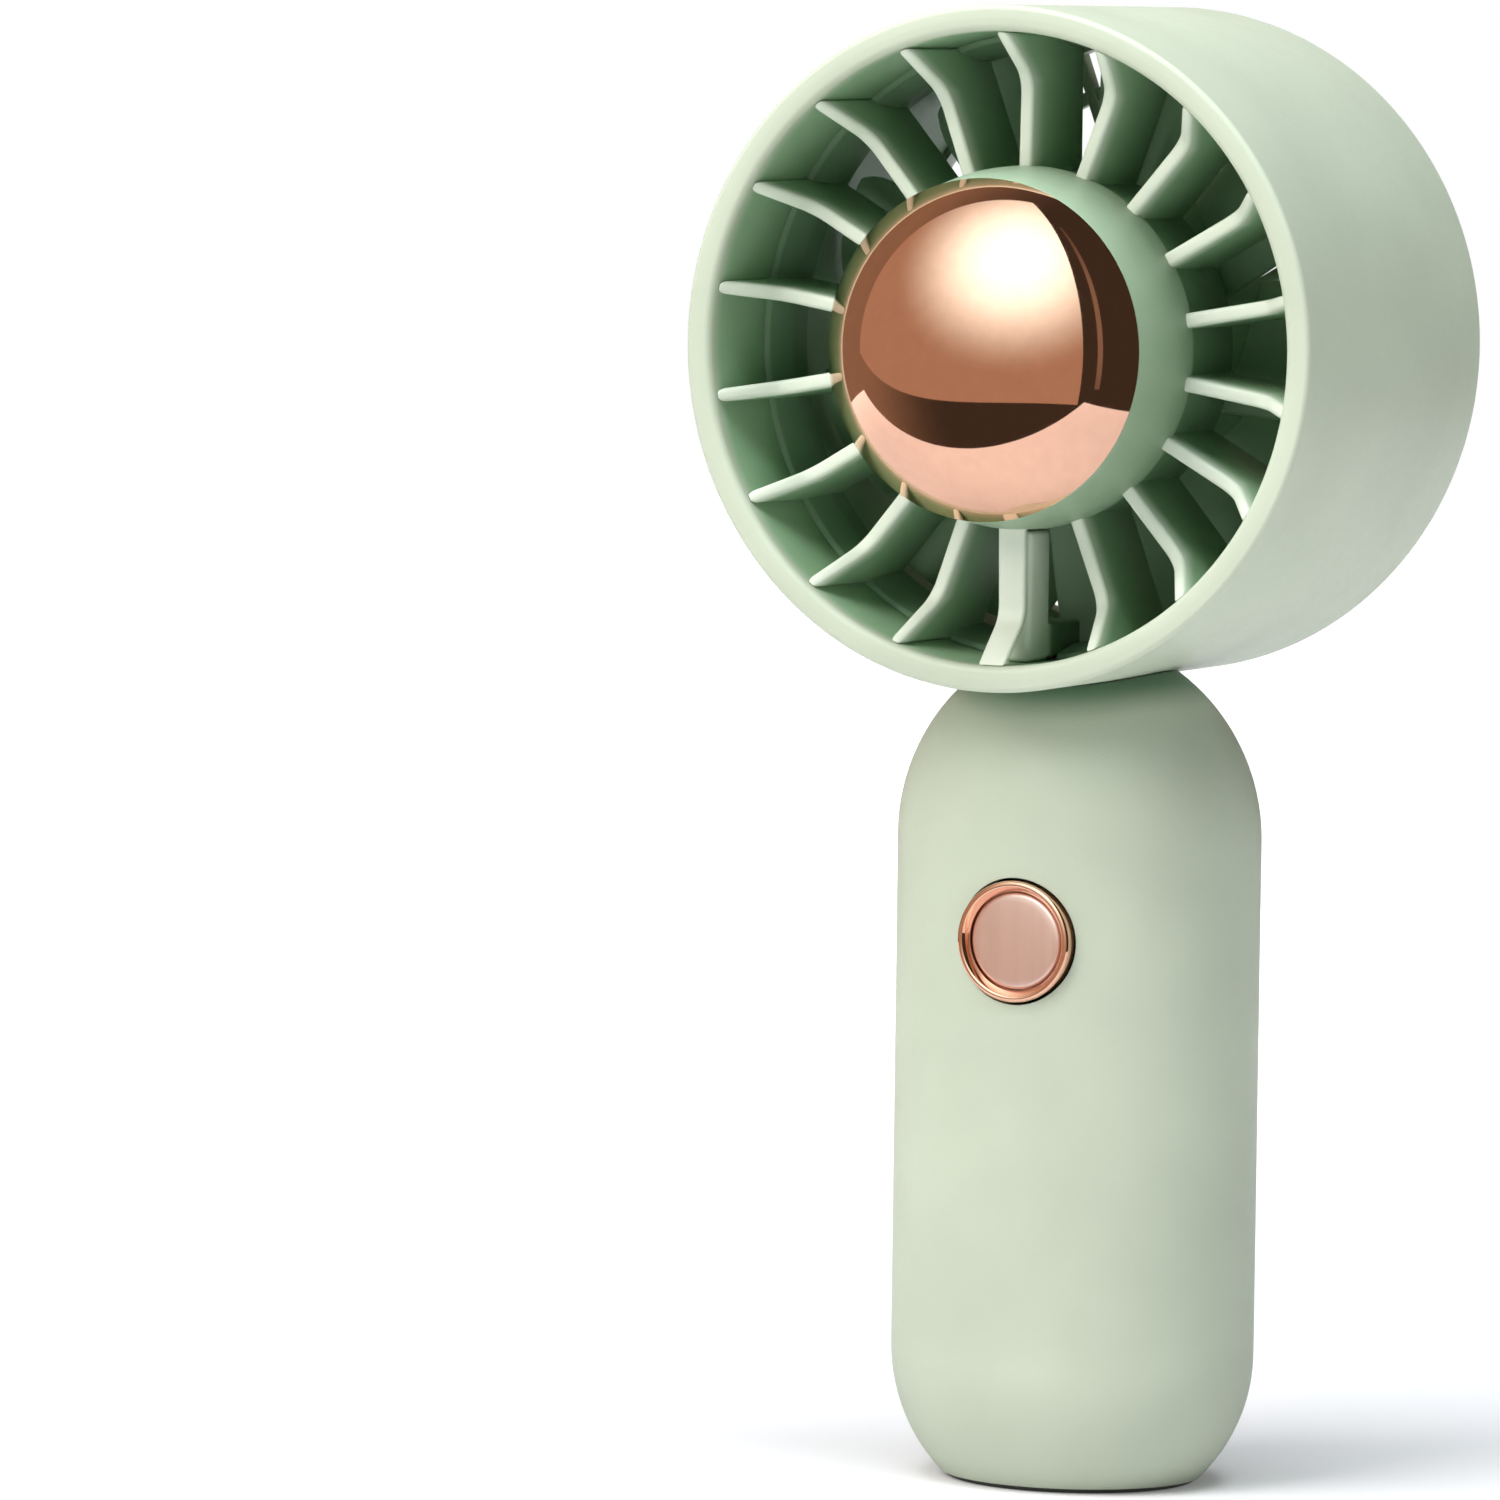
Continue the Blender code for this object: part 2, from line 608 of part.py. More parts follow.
def make_rotor_core(steel, shaft_steel, copper, brass):
    core = plate_mesh("core", [armature_outline(), arc(SHAFT_HOLE, 0.0, 330.0, 11)],
                      CORE_REAR - CORE_FRONT)
    middle = (CORE_FRONT + CORE_REAR) / 2.0
    parts = [make_object("armature_core", core, (0.0, middle, HEAD_Z), FACE_FRONT, steel)]
    parts += [make_coil(index, copper) for index in range(POLE_COUNT)]
    parts.append(make_rod_y("motor_shaft", 0.0, HEAD_Z, -20.2, 8.5, SHAFT_RADIUS, shaft_steel))
    parts.append(make_turned("commutator", [(2.4, -18.4), (2.4, -16.8), (SHAFT_HOLE, -16.8),
                                            (SHAFT_HOLE, -18.4)], 16, copper))
    parts.append(make_turned("impeller_insert", [(2.6, 1.8), (2.6, 8.9), (SHAFT_HOLE, 8.9),
                                                 (SHAFT_HOLE, 1.8)], 16, brass))
    return parts


def blade_surface():
    """One twisted, cambered blade as an open surface round the head's axis."""
    mesh = bpy.data.meshes.new("blade")
    shape = bmesh.new()
    bmesh.ops.create_grid(shape, x_segments=4, y_segments=5, size=1.0)
    root = IMPELLER_HUB - IMPELLER_WALL / 2.0
    for vertex in shape.verts:
        span = (vertex.co.x + 1.0) / 2.0
        chord = vertex.co.y / 2.0
        radius = root + (BLADE_TIP_RADIUS - root) * span
        pitch = BLADE_PITCH_ROOT + (BLADE_PITCH_TIP - BLADE_PITCH_ROOT) * span
        bow = 1.2 * (1.0 - (2.0 * chord) ** 2)
        axial = chord * BLADE_CHORD * math.sin(pitch) - bow * math.cos(pitch)
        around = chord * BLADE_CHORD * math.cos(pitch) + bow * math.sin(pitch)
        angle = around / radius
        vertex.co = Vector((radius * math.cos(angle), BLADE_CENTRE_Y + axial,
                            radius * math.sin(angle))) * MM
    shape.to_mesh(mesh)
    shape.free()
    return mesh


def make_impeller(material):
    inner = IMPELLER_HUB - IMPELLER_WALL
    boss = 4.2
    bore = 2.9
    profile = [(0.0, 9.3), (bore, 9.3), (bore, 1.5), (boss, 1.5), (boss, 13.2), (8.0, 12.9),
               (13.0, 11.4), (inner, 8.6), (inner, IMPELLER_FRONT), (IMPELLER_HUB, IMPELLER_FRONT),
               (IMPELLER_HUB, 9.0), (15.4, 11.4), (12.8, 13.3), (8.2, 14.4), (0.0, 14.8)]
    impeller = make_turned("impeller", profile, 36, material)
    blade = blade_surface()
    for index in range(BLADE_COUNT):
        turn = (0.0, 2.0 * math.pi * index / BLADE_COUNT, 0.0)
        thing = make_object("blade_%d" % index, blade, (0.0, 0.0, HEAD_Z), turn)
        shell = thing.modifiers.new("thickness", "SOLIDIFY")
        shell.thickness = BLADE_THICKNESS * MM
        shell.offset = 0.0
        combine(impeller, thing, "UNION")
    return impeller


# ---------------------------------------------------------------- handle

def lower_cavity(name):
    floor = HANDLE_FLOOR + HANDLE_WALL
    heights = (floor, 4.5, 7.0, 10.0, LOWER_END_Z, UPPER_END_Z, SHELF_LOW)
    return make_oval(name, oval_sections(heights, HANDLE_WALL))


def outer_heights():
    return (HANDLE_FLOOR, 2.6, 4.5, 7.0, 10.0, LOWER_END_Z, UPPER_END_Z, 68.0, 71.0, 73.5, 76.0,
            78.0, 80.0, 81.5, 83.5)


def make_handle_shell(material):
    shell = make_oval("handle_shell", oval_sections(outer_heights()), material)
    combine(shell, lower_cavity("lower_cavity"))
    heights = (SHELF_HIGH, 71.0, 74.0, 77.0, 79.5, 81.5)
    combine(shell, make_oval("upper_cavity", oval_sections(heights, HANDLE_WALL)))
    combine(shell, make_rod_y("drum_saddle", 0.0, HEAD_Z, -24.0, 24.0, DRUM_RADIUS + GAP,
                              segments=72))
    combine(shell, make_block("cover_opening", (-COVER_HALF_WIDTH, 5.0, COVER_LOW),
                              (COVER_HALF_WIDTH, 20.0, COVER_HIGH), round_y=3.0))
    combine(shell, make_rod_y("button_hole", 0.0, BUTTON_Z, -18.0, -10.0, BEZEL_RADIUS + GAP,
                              segments=32))
    combine(shell, make_block("port_slot", (-4.9, PORT_Y - 2.0, 0.0), (4.9, PORT_Y + 2.0, 4.0)))
    combine(shell, make_rod_z("shelf_wire_hole", 0.0, WIRE_BORE_Y, 65.0, 69.0,
                              WIRE_BORE_RADIUS + 0.2, segments=20))
    for side, x in (("left", -NECK_SCREW_X), ("right", NECK_SCREW_X)):
        combine(shell, make_rod_z("shelf_hole_" + side, x, 0.0, 65.0, 69.0, 1.2, segments=12))
    return shell


def make_back_cover(material):
    cover = make_block("handle_back_cover", (-COVER_HALF_WIDTH + GAP, 5.5, COVER_LOW + GAP),
                       (COVER_HALF_WIDTH - GAP, 19.5, COVER_HIGH - GAP), material, round_y=2.7)
    combine(cover, make_oval("cover_outside", oval_sections((2.0, 5.0, 7.5, 10.0, LOWER_END_Z,
                                                             UPPER_END_Z))), "INTERSECT")
    combine(cover, lower_cavity("cover_inside"))
    for name, z in zip(("lower", "upper"), COVER_SCREW_Z):
        combine(cover, make_rod_y("cover_boss_" + name, 0.0, z, 9.9, 13.9, 2.7, segments=20),
                "UNION")
        combine(cover, make_rod_y("cover_recess_" + name, 0.0, z, 12.0, 17.0, 2.2))
        combine(cover, make_rod_y("cover_bore_" + name, 0.0, z, 9.0, 13.0, 1.2, segments=12))
    return cover


def make_screw_y(name, x, z, head_front, head_rear, shank_tip, head_radius, shank_radius,
                 material):
    """A screw along Y: the head between two planes, the shank out to its tip."""
    overlap = 0.2
    if shank_tip < head_front:
        span = (shank_tip, head_front + overlap)
    else:
        span = (head_rear - overlap, shank_tip)
    screw = make_rod_y(name, x, z, head_front, head_rear, head_radius, material)
    combine(screw, make_rod_y(name + "_shank", x, z, span[0], span[1], shank_radius, segments=12),
            "UNION")
    return screw


def make_handle_fasteners(material):
    for name, z in zip(("lower", "upper"), COVER_SCREW_Z):
        make_screw_y("cover_screw_" + name, 0.0, z, 12.3, 13.7, 3.2, 1.9, 0.9, material)
    for name, z in zip(("lower", "upper"), PCB_SCREW_Z):
        make_screw_y("pcb_screw_" + name, 0.0, z, -11.3, -10.2, -5.9, 1.7, 0.8, material)
    for side, x in (("left", -NECK_SCREW_X), ("right", NECK_SCREW_X)):
        screw = make_rod_z("head_screw_" + side, x, 0.0, 64.4, 65.7, 1.9, material)
        combine(screw, make_rod_z("head_shank_" + side, x, 0.0, 65.5, 74.5, 0.9, segments=12),
                "UNION")


def make_base_foot(material):
    foot = make_oval("base_foot", oval_sections((0.0, FOOT_HEIGHT)), material)
    combine(foot, make_block("foot_slot", (-5.2, PORT_Y - 2.3, -1.0), (5.2, PORT_Y + 2.3, 2.0)))
    return foot


def make_cradle(material):
    centre = (0.0, CELL_Y)
    outline = arc(CRADLE_RADIUS, 180.0, 360.0, 12, centre)
    outline += arc(CRADLE_BORE, 360.0, 180.0, 12, centre)
    mesh = plate_mesh("cradle", [outline], CRADLE_HIGH - CRADLE_LOW)
    cradle = make_object("battery_cradle", mesh, (0.0, 0.0, (CRADLE_LOW + CRADLE_HIGH) / 2.0),
                         material=material)
    for name, z in zip(("lower", "upper"), COVER_SCREW_Z):
        combine(cradle, make_rod_y("cradle_boss_" + name, 0.0, z, -4.9, 9.6, 2.3), "UNION")
        combine(cradle, make_rod_y("cradle_bore_" + name, 0.0, z, 2.6, 11.0, 1.2, segments=12))
    for name, z in zip(("lower", "upper"), PCB_SCREW_Z):
        combine(cradle, make_rod_y("standoff_" + name, 0.0, z, PCB_REAR + GAP, -4.9, 2.2), "UNION")
        combine(cradle, make_rod_y("standoff_bore_" + name, 0.0, z, -10.0, -5.3, 1.1,
                                   segments=12))
    return cradle


def make_battery(wrap, nickel, foam, red, black):
    make_rod_z("battery_cell", 0.0, CELL_Y, CELL_LOW, CELL_HIGH, CELL_RADIUS, wrap, 32)
    for name, low in (("negative", CELL_LOW - 0.6), ("positive", CELL_HIGH + GAP)):
        make_block("battery_tab_" + name, (-2.5, CELL_Y - 2.0, low), (2.5, CELL_Y + 5.0,
                                                                      low + 0.3), nickel)
    make_block("battery_foam_pad", (-5.0, 10.4, 22.0), (5.0, 12.2, 48.0), foam)
    make_wire("battery_wire_red", [
        (4.9, 5.5, 56.6), (4.9, 5.6, 59.8), (4.9, 4.2, 62.4), (4.9, -1.5, 63.0),
        (4.9, -6.2, 62.0), (4.9, -7.9, 59.5), (4.9, -7.9, 57.0)], 0.5, red)
    make_wire("battery_wire_black", [
        (-4.9, 5.5, 14.4), (-4.9, 5.6, 10.8), (-5.0, 4.0, 8.6), (-5.4, -1.5, 8.2),
        (-5.5, -6.0, 9.4), (-5.4, -7.9, 12.0), (-5.4, -7.9, 14.5)], 0.5, black)


def make_control_board(board, chip, dark, metal, switch):
    pcb = make_block("control_pcb", (-PCB_HALF_WIDTH, PCB_FRONT, PCB_LOW),
                     (PCB_HALF_WIDTH, PCB_REAR, PCB_HIGH), board, round_y=1.0)
    for name, z in zip(("lower", "upper"), PCB_SCREW_Z):
        combine(pcb, make_rod_y("pcb_hole_" + name, 0.0, z, -11.0, -8.0, 1.1, segments=12))
    front = PCB_FRONT - GAP
    make_block("control_chip", (-2.5, front - 1.4, 30.5), (2.5, front, 36.5), chip)
    make_block("charge_chip", (-2.0, front - 1.2, 13.0), (2.0, front, 17.0), chip)
    make_block("power_inductor", (-2.0, front - 1.8, 38.5), (2.0, front, 42.2), dark,
               round_y=0.6)
    tact = make_block("tact_switch", (-2.6, front - 1.3, BUTTON_Z - 2.6),
                      (2.6, front, BUTTON_Z + 2.6), switch)
    combine(tact, make_rod_y("switch_bore", 0.0, BUTTON_Z, -13.0, -9.95, 1.3))
    port = make_block("usb_port", (-4.47, PORT_Y - 1.6, PORT_LOW), (4.47, PORT_Y + 1.6,
                                                                    PORT_HIGH), metal)
    combine(port, make_block("port_mouth", (-4.17, PORT_Y - 1.3, PORT_LOW - 1.0),
                             (4.17, PORT_Y + 1.3, PORT_HIGH - 1.2)))
    make_block("usb_tongue", (-3.3, PORT_Y - 0.35, PORT_LOW + 0.8),
               (3.3, PORT_Y + 0.35, PORT_HIGH - 1.2 - GAP), dark)


def make_motor_wires(red, black):
    """Both wires from the board, through the neck and the conduit, to the motor's end cap."""
    floor = HEAD_Z - DRUM_BORE
    make_wire("motor_wire_red", [
        (1.6, -7.9, 57.5), (1.6, -7.8, 61.0), (0.7, -6.6, 64.2), (0.1, -5.7, 67.0),
        (0.0, -5.6, 71.0), (0.0, -5.6, 78.0), (0.0, -5.6, floor - 0.6), (0.0, -7.5, floor + 1.0),
        (0.0, -10.0, floor + 0.8), (0.0, -13.0, floor + 1.0), (0.0, -14.3, floor + 3.0),
        (0.0, -14.3, 90.0), (0.0, -14.3, 97.5), (0.0, -15.0, 99.2), (0.0, -17.6, 99.4),
        (0.3, -19.6, 99.5), (1.5, -20.8, 100.6), (3.2, -20.8, 103.2), (4.5, -20.8, 107.0)],
        0.45, red)
    make_wire("motor_wire_black", [
        (-1.6, -7.9, 57.5), (-1.6, -7.6, 60.0), (-0.9, -6.0, 63.2), (-0.1, -4.4, 66.4),
        (0.0, -4.2, 71.0), (0.0, -4.2, 78.0), (0.0, -4.3, 81.8), (0.0, -5.4, floor + 2.0),
        (0.0, -7.4, floor + 2.15), (0.0, -11.2, floor + 2.2), (0.0, -12.6, floor + 3.6),
        (0.0, -12.7, 90.0), (0.0, -12.8, 98.0), (-0.1, -14.0, 100.4), (-0.2, -17.0, 100.7),
        (-0.6, -19.6, 100.8), (-1.8, -20.8, 101.6), (-3.2, -20.8, 103.8), (-4.5, -20.8, 107.0)],
        0.45, black)


# ---------------------------------------------------------------- button

def make_button_bezel(material):
    front = [(BEZEL_BORE, BEZEL_FRONT + 0.5), (BEZEL_BORE + 0.45, BEZEL_FRONT),
             (BEZEL_RADIUS - 0.25, BEZEL_FRONT), (BEZEL_RADIUS, BEZEL_FRONT + 0.25),
             (BEZEL_RADIUS, BEZEL_REAR), (BEZEL_BORE, BEZEL_REAR)]
    bezel = make_turned("button_bezel", front, 32, material)
    bezel.location.z = BUTTON_Z * MM
    return bezel


def make_button(cap_material, stem_material):
    profile = [(0.0, BUTTON_FRONT), (BUTTON_RADIUS - 1.2, BUTTON_FRONT + 0.05),
               (BUTTON_RADIUS - 0.3, BUTTON_FRONT + 0.15), (BUTTON_RADIUS, BUTTON_FRONT + 0.5),
               (BUTTON_RADIUS, BUTTON_FLANGE_FRONT), (BUTTON_FLANGE_RADIUS, BUTTON_FLANGE_FRONT),
               (BUTTON_FLANGE_RADIUS, BUTTON_REAR), (0.0, BUTTON_REAR)]
    cap = make_turned("button_cap", profile, 32, cap_material)
    cap.location.z = BUTTON_Z * MM
    stem = make_rod_y("switch_stem", 0.0, BUTTON_Z, BUTTON_REAR + GAP, -10.85, 1.0, stem_material)
    return [cap, stem]


def hang_on(name, place, parts):
    """Parent a body's pieces to an empty on its joint's axis."""
    empty = bpy.data.objects.new(name, None)
    empty.location = Vector(place) * MM
    empty.empty_display_size = 0.01
    PARTS.objects.link(empty)
    for part in parts:
        part.parent = empty
        part.matrix_parent_inverse = Matrix.Translation(empty.location).inverted()


clear_scene()
PARTS = make_collection("handheld_fan")
CUTTERS = make_collection("cutters")

SAGE = make_material("sage_plastic", (0.62, 0.69, 0.54), 0.42)
DEEP_SAGE = make_material("deep_sage_plastic", (0.34, 0.45, 0.32), 0.5)
GRILLE_SAGE = make_material("grille_plastic", (0.55, 0.63, 0.47), 0.42)
ROSE_CHROME = make_material("rose_chrome", (0.80, 0.45, 0.32), 0.08, 1.0)
ROSE_SATIN = make_material("rose_satin", (0.76, 0.48, 0.40), 0.3, 1.0)
STEEL = make_material("zinc_steel", (0.62, 0.63, 0.65), 0.35, 1.0)
CORE_STEEL = make_material("core_steel", (0.35, 0.36, 0.38), 0.5, 1.0)
BRONZE = make_material("bronze", (0.62, 0.42, 0.2), 0.4, 1.0)
BRASS = make_material("brass", (0.8, 0.6, 0.25), 0.3, 1.0)
COPPER = make_material("copper_winding", (0.62, 0.26, 0.1), 0.35, 1.0)
FERRITE = make_material("ferrite", (0.06, 0.06, 0.07), 0.6)
RUBBER = make_material("rubber", (0.05, 0.05, 0.05), 0.8)
FOOT_RUBBER = make_material("foot_rubber", (0.42, 0.5, 0.38), 0.7)
FRAME_PLASTIC = make_material("frame_plastic", (0.8, 0.8, 0.78), 0.5)
CELL_WRAP = make_material("cell_wrap", (0.05, 0.22, 0.42), 0.35)
NICKEL = make_material("nickel", (0.7, 0.69, 0.66), 0.3, 1.0)
FOAM = make_material("foam", (0.1, 0.1, 0.1), 0.9)
BOARD = make_material("board", (0.03, 0.2, 0.09), 0.4)
CHIP = make_material("chip_black", (0.02, 0.02, 0.02), 0.5)
RED_WIRE = make_material("red_wire", (0.6, 0.03, 0.02), 0.4)
BLACK_WIRE = make_material("black_wire", (0.02, 0.02, 0.02), 0.4)

make_head_drum(SAGE)
make_front_grille(GRILLE_SAGE)
make_wire_conduit(GRILLE_SAGE)
make_hub_cap(ROSE_CHROME)
make_rear_grille(GRILLE_SAGE)
make_motor_body(STEEL, FRAME_PLASTIC, BRONZE, FERRITE, RUBBER, STEEL)
ROTOR = make_rotor_core(CORE_STEEL, STEEL, COPPER, BRASS)
ROTOR.append(make_impeller(DEEP_SAGE))
hang_on("rotor_axis", (0.0, 0.0, HEAD_Z), ROTOR)
make_handle_shell(SAGE)
make_back_cover(SAGE)
make_handle_fasteners(STEEL)
make_base_foot(FOOT_RUBBER)
make_cradle(FRAME_PLASTIC)
make_battery(CELL_WRAP, NICKEL, FOAM, RED_WIRE, BLACK_WIRE)
make_control_board(BOARD, CHIP, FERRITE, NICKEL, CHIP)
make_motor_wires(RED_WIRE, BLACK_WIRE)
make_button_bezel(ROSE_CHROME)
hang_on("button_axis", (0.0, 0.0, BUTTON_Z), make_button(ROSE_SATIN, FRAME_PLASTIC))
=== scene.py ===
"""Looks of the handheld electric fan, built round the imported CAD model.

All lengths are metres in the CAD model's own frame; MM turns millimetres into metres.
"""

import json
import math

import bmesh
import bpy
from mathutils import Matrix, Vector


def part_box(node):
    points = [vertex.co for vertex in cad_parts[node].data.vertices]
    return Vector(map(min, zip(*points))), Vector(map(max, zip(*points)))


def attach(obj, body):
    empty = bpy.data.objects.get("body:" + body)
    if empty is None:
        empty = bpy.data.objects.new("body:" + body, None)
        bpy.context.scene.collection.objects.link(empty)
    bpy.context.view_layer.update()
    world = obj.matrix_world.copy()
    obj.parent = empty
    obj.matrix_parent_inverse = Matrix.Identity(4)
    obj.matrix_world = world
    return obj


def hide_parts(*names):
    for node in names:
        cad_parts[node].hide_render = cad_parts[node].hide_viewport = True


MM = 0.001
GAP = 0.3 * MM               # what the CAD pieces keep between them

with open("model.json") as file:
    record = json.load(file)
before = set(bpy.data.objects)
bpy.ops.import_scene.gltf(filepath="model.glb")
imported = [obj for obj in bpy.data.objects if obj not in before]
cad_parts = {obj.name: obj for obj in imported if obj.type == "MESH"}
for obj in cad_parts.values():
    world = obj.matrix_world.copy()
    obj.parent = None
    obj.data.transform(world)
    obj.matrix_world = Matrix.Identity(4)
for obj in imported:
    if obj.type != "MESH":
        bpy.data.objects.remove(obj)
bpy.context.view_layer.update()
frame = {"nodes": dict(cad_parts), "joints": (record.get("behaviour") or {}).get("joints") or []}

# ---------------------------------------------------------------- places read from the frame

SPIN = next(joint for joint in frame["joints"] if joint["name"] == "rotor_spin")
HEAD = Vector(SPIN["pos_m"])                      # the head's axis runs along Y through this
DRUM_LOW, DRUM_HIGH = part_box("head_drum")
DRUM_RADIUS = DRUM_HIGH.x
GRILLE_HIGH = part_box("front_grille")[1]
CAP_LOW, CAP_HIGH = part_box("hub_cap")
REAR_LOW, REAR_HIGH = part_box("rear_grille")
CONDUIT_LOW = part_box("wire_conduit")[0]
IMPELLER_LOW, IMPELLER_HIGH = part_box("impeller")
HANDLE_LOW, HANDLE_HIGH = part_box("handle_shell")
COVER_LOW, COVER_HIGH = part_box("handle_back_cover")
FOOT_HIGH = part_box("base_foot")[1]
PORT_LOW, PORT_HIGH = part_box("usb_port")
BEZEL_LOW, BEZEL_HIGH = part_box("button_bezel")
BUTTON_LOW, BUTTON_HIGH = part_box("button_cap")
BUTTON_Z = (BEZEL_LOW.z + BEZEL_HIGH.z) / 2.0
SCREW_HEIGHTS = tuple((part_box(name)[0].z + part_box(name)[1].z) / 2.0
                      for name in ("cover_screw_lower", "cover_screw_upper"))


# ---------------------------------------------------------------- node helpers

def new_material(name):
    """A node material, its node tree and its Principled shader."""
    material = bpy.data.materials.new(name)
    material.use_nodes = True
    return material, material.node_tree, material.node_tree.nodes["Principled BSDF"]


def add_noise(tree, scale, detail=3.0, stretch=(1.0, 1.0, 1.0)):
    """Object-space noise; scale is in cells per metre, stretch squeezes it along an axis."""
    place = tree.nodes.new("ShaderNodeTexCoord")
    mapping = tree.nodes.new("ShaderNodeMapping")
    mapping.inputs["Scale"].default_value = stretch
    noise = tree.nodes.new("ShaderNodeTexNoise")
    noise.inputs["Scale"].default_value = scale
    noise.inputs["Detail"].default_value = detail
    tree.links.new(place.outputs["Object"], mapping.inputs["Vector"])
    tree.links.new(mapping.outputs["Vector"], noise.inputs["Vector"])
    return noise.outputs["Fac"]


def remap(tree, value, low, high):
    """Stretch the middle of a noise value to the range from low to high."""
    node = tree.nodes.new("ShaderNodeMapRange")
    node.inputs["From Min"].default_value = 0.3
    node.inputs["From Max"].default_value = 0.7
    node.inputs["To Min"].default_value = low
    node.inputs["To Max"].default_value = high
    tree.links.new(value, node.inputs["Value"])
    return node.outputs["Result"]


def mix_colours(tree, factor, first, second):
    """Blend two colours, each a tuple or another node's output."""
    node = tree.nodes.new("ShaderNodeMix")
    node.data_type = "RGBA"
    tree.links.new(factor, node.inputs["Factor"])
    for socket, colour in ((node.inputs["A"], first), (node.inputs["B"], second)):
        if isinstance(colour, tuple):
            socket.default_value = (*colour, 1.0)
        else:
            tree.links.new(colour, socket)
    return node.outputs["Result"]


def add_bump(tree, shader, height, distance):
    """Relief of a given depth from a height value."""
    bump = tree.nodes.new("ShaderNodeBump")
    bump.inputs["Strength"].default_value = 1.0
    bump.inputs["Distance"].default_value = distance
    tree.links.new(height, bump.inputs["Height"])
    tree.links.new(bump.outputs["Normal"], shader.inputs["Normal"])


# Mask for painted shade: 0 on the front line, rising to 1 at fade behind it.
def add_depth(tree, line, fade):
    """How far a point lies behind a front line about the head's axis, from 0 to 1 at fade.

    line holds two (radius, y) points; the front line runs straight between them.
    """
    place = tree.nodes.new("ShaderNodeTexCoord")
    flatten = tree.nodes.new("ShaderNodeMapping")
    flatten.inputs["Location"].default_value = (-HEAD.x, 0.0, -HEAD.z)
    flatten.inputs["Scale"].default_value = (1.0, 0.0, 1.0)
    radius = tree.nodes.new("ShaderNodeVectorMath")
    radius.operation = "LENGTH"
    front = tree.nodes.new("ShaderNodeMapRange")
    (first_radius, first_y), (last_radius, last_y) = line
    front.inputs["From Min"].default_value = first_radius
    front.inputs["From Max"].default_value = last_radius
    front.inputs["To Min"].default_value = first_y
    front.inputs["To Max"].default_value = last_y
    split = tree.nodes.new("ShaderNodeSeparateXYZ")
    behind = tree.nodes.new("ShaderNodeMath")
    behind.operation = "SUBTRACT"
    depth = tree.nodes.new("ShaderNodeMapRange")
    depth.interpolation_type = "SMOOTHSTEP"
    depth.inputs["From Max"].default_value = fade
    tree.links.new(place.outputs["Object"], flatten.inputs["Vector"])
    tree.links.new(flatten.outputs["Vector"], radius.inputs[0])
    tree.links.new(radius.outputs["Value"], front.inputs["Value"])
    tree.links.new(place.outputs["Object"], split.inputs["Vector"])
    tree.links.new(split.outputs["Y"], behind.inputs[0])
    tree.links.new(front.outputs["Result"], behind.inputs[1])
    tree.links.new(behind.outputs["Value"], depth.inputs["Value"])
    return depth.outputs["Result"]


def moulded_plastic(name, colour, roughness=0.42, grain=4500.0, relief=0.012 * MM, drift=0.05,
                    shade=None):
    """Satin injection-moulded plastic: fine spark texture, cloudy tone and uneven gloss.

    shade is (front line, fade, colour) for painted shade: behind the front line the tone turns to
    that colour, standing in for shade inside the head and under the drum.
    """
    material, tree, shader = new_material(name)
    pale = tuple(min(1.0, part * (1.0 + drift)) for part in colour)
    deep = tuple(part * (1.0 - drift) for part in colour)
    cloud = remap(tree, add_noise(tree, 60.0, 2.0), 0.0, 1.0)
    tone = mix_colours(tree, cloud, deep, pale)
    if shade is not None:
        # Painted shade: the tone blends to the shade colour behind the front line.
        line, fade, inner = shade
        tone = mix_colours(tree, add_depth(tree, line, fade), tone, inner)
    tree.links.new(tone, shader.inputs["Base Color"])
    gloss = remap(tree, add_noise(tree, 900.0, 4.0), roughness - 0.05, roughness + 0.05)
    tree.links.new(gloss, shader.inputs["Roughness"])
    add_bump(tree, shader, add_noise(tree, grain, 2.0), relief)
    shader.inputs["IOR"].default_value = 1.5
    return material


def plated_metal(name, colour, roughness, grain=700.0, spread=0.02, relief=0.0015 * MM,
                 stretch=(1.0, 1.0, 1.0), metallic=1.0):
    """Metal with uneven gloss and a faint surface: polished, brushed or drawn."""
    material, tree, shader = new_material(name)
    shader.inputs["Metallic"].default_value = metallic
    streaks = add_noise(tree, grain, 5.0, stretch)
    warm = tuple(part * 0.94 for part in colour)
    tree.links.new(mix_colours(tree, remap(tree, streaks, 0.0, 1.0), warm, colour),
                   shader.inputs["Base Color"])
    gloss = remap(tree, streaks, max(0.02, roughness - spread), roughness + spread)
    tree.links.new(gloss, shader.inputs["Roughness"])
    add_bump(tree, shader, streaks, relief)
    return material


# ---------------------------------------------------------------- mesh helpers

def finish_mesh(name, shape, material, body, sharp=32.0):
    """Turn a bmesh into a shown piece that rides on a body."""
    bmesh.ops.recalc_face_normals(shape, faces=shape.faces)
    mesh = bpy.data.meshes.new(name)
    shape.to_mesh(mesh)
    shape.free()
    mesh.shade_smooth()
    mesh.set_sharp_from_angle(angle=math.radians(sharp))
    piece = bpy.data.objects.new(name, mesh)
    bpy.context.scene.collection.objects.link(piece)
    if material is not None:
        mesh.materials.append(material)
    if body is None:
        piece.hide_render = True
        piece.hide_viewport = True
    else:
        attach(piece, body)
    return piece


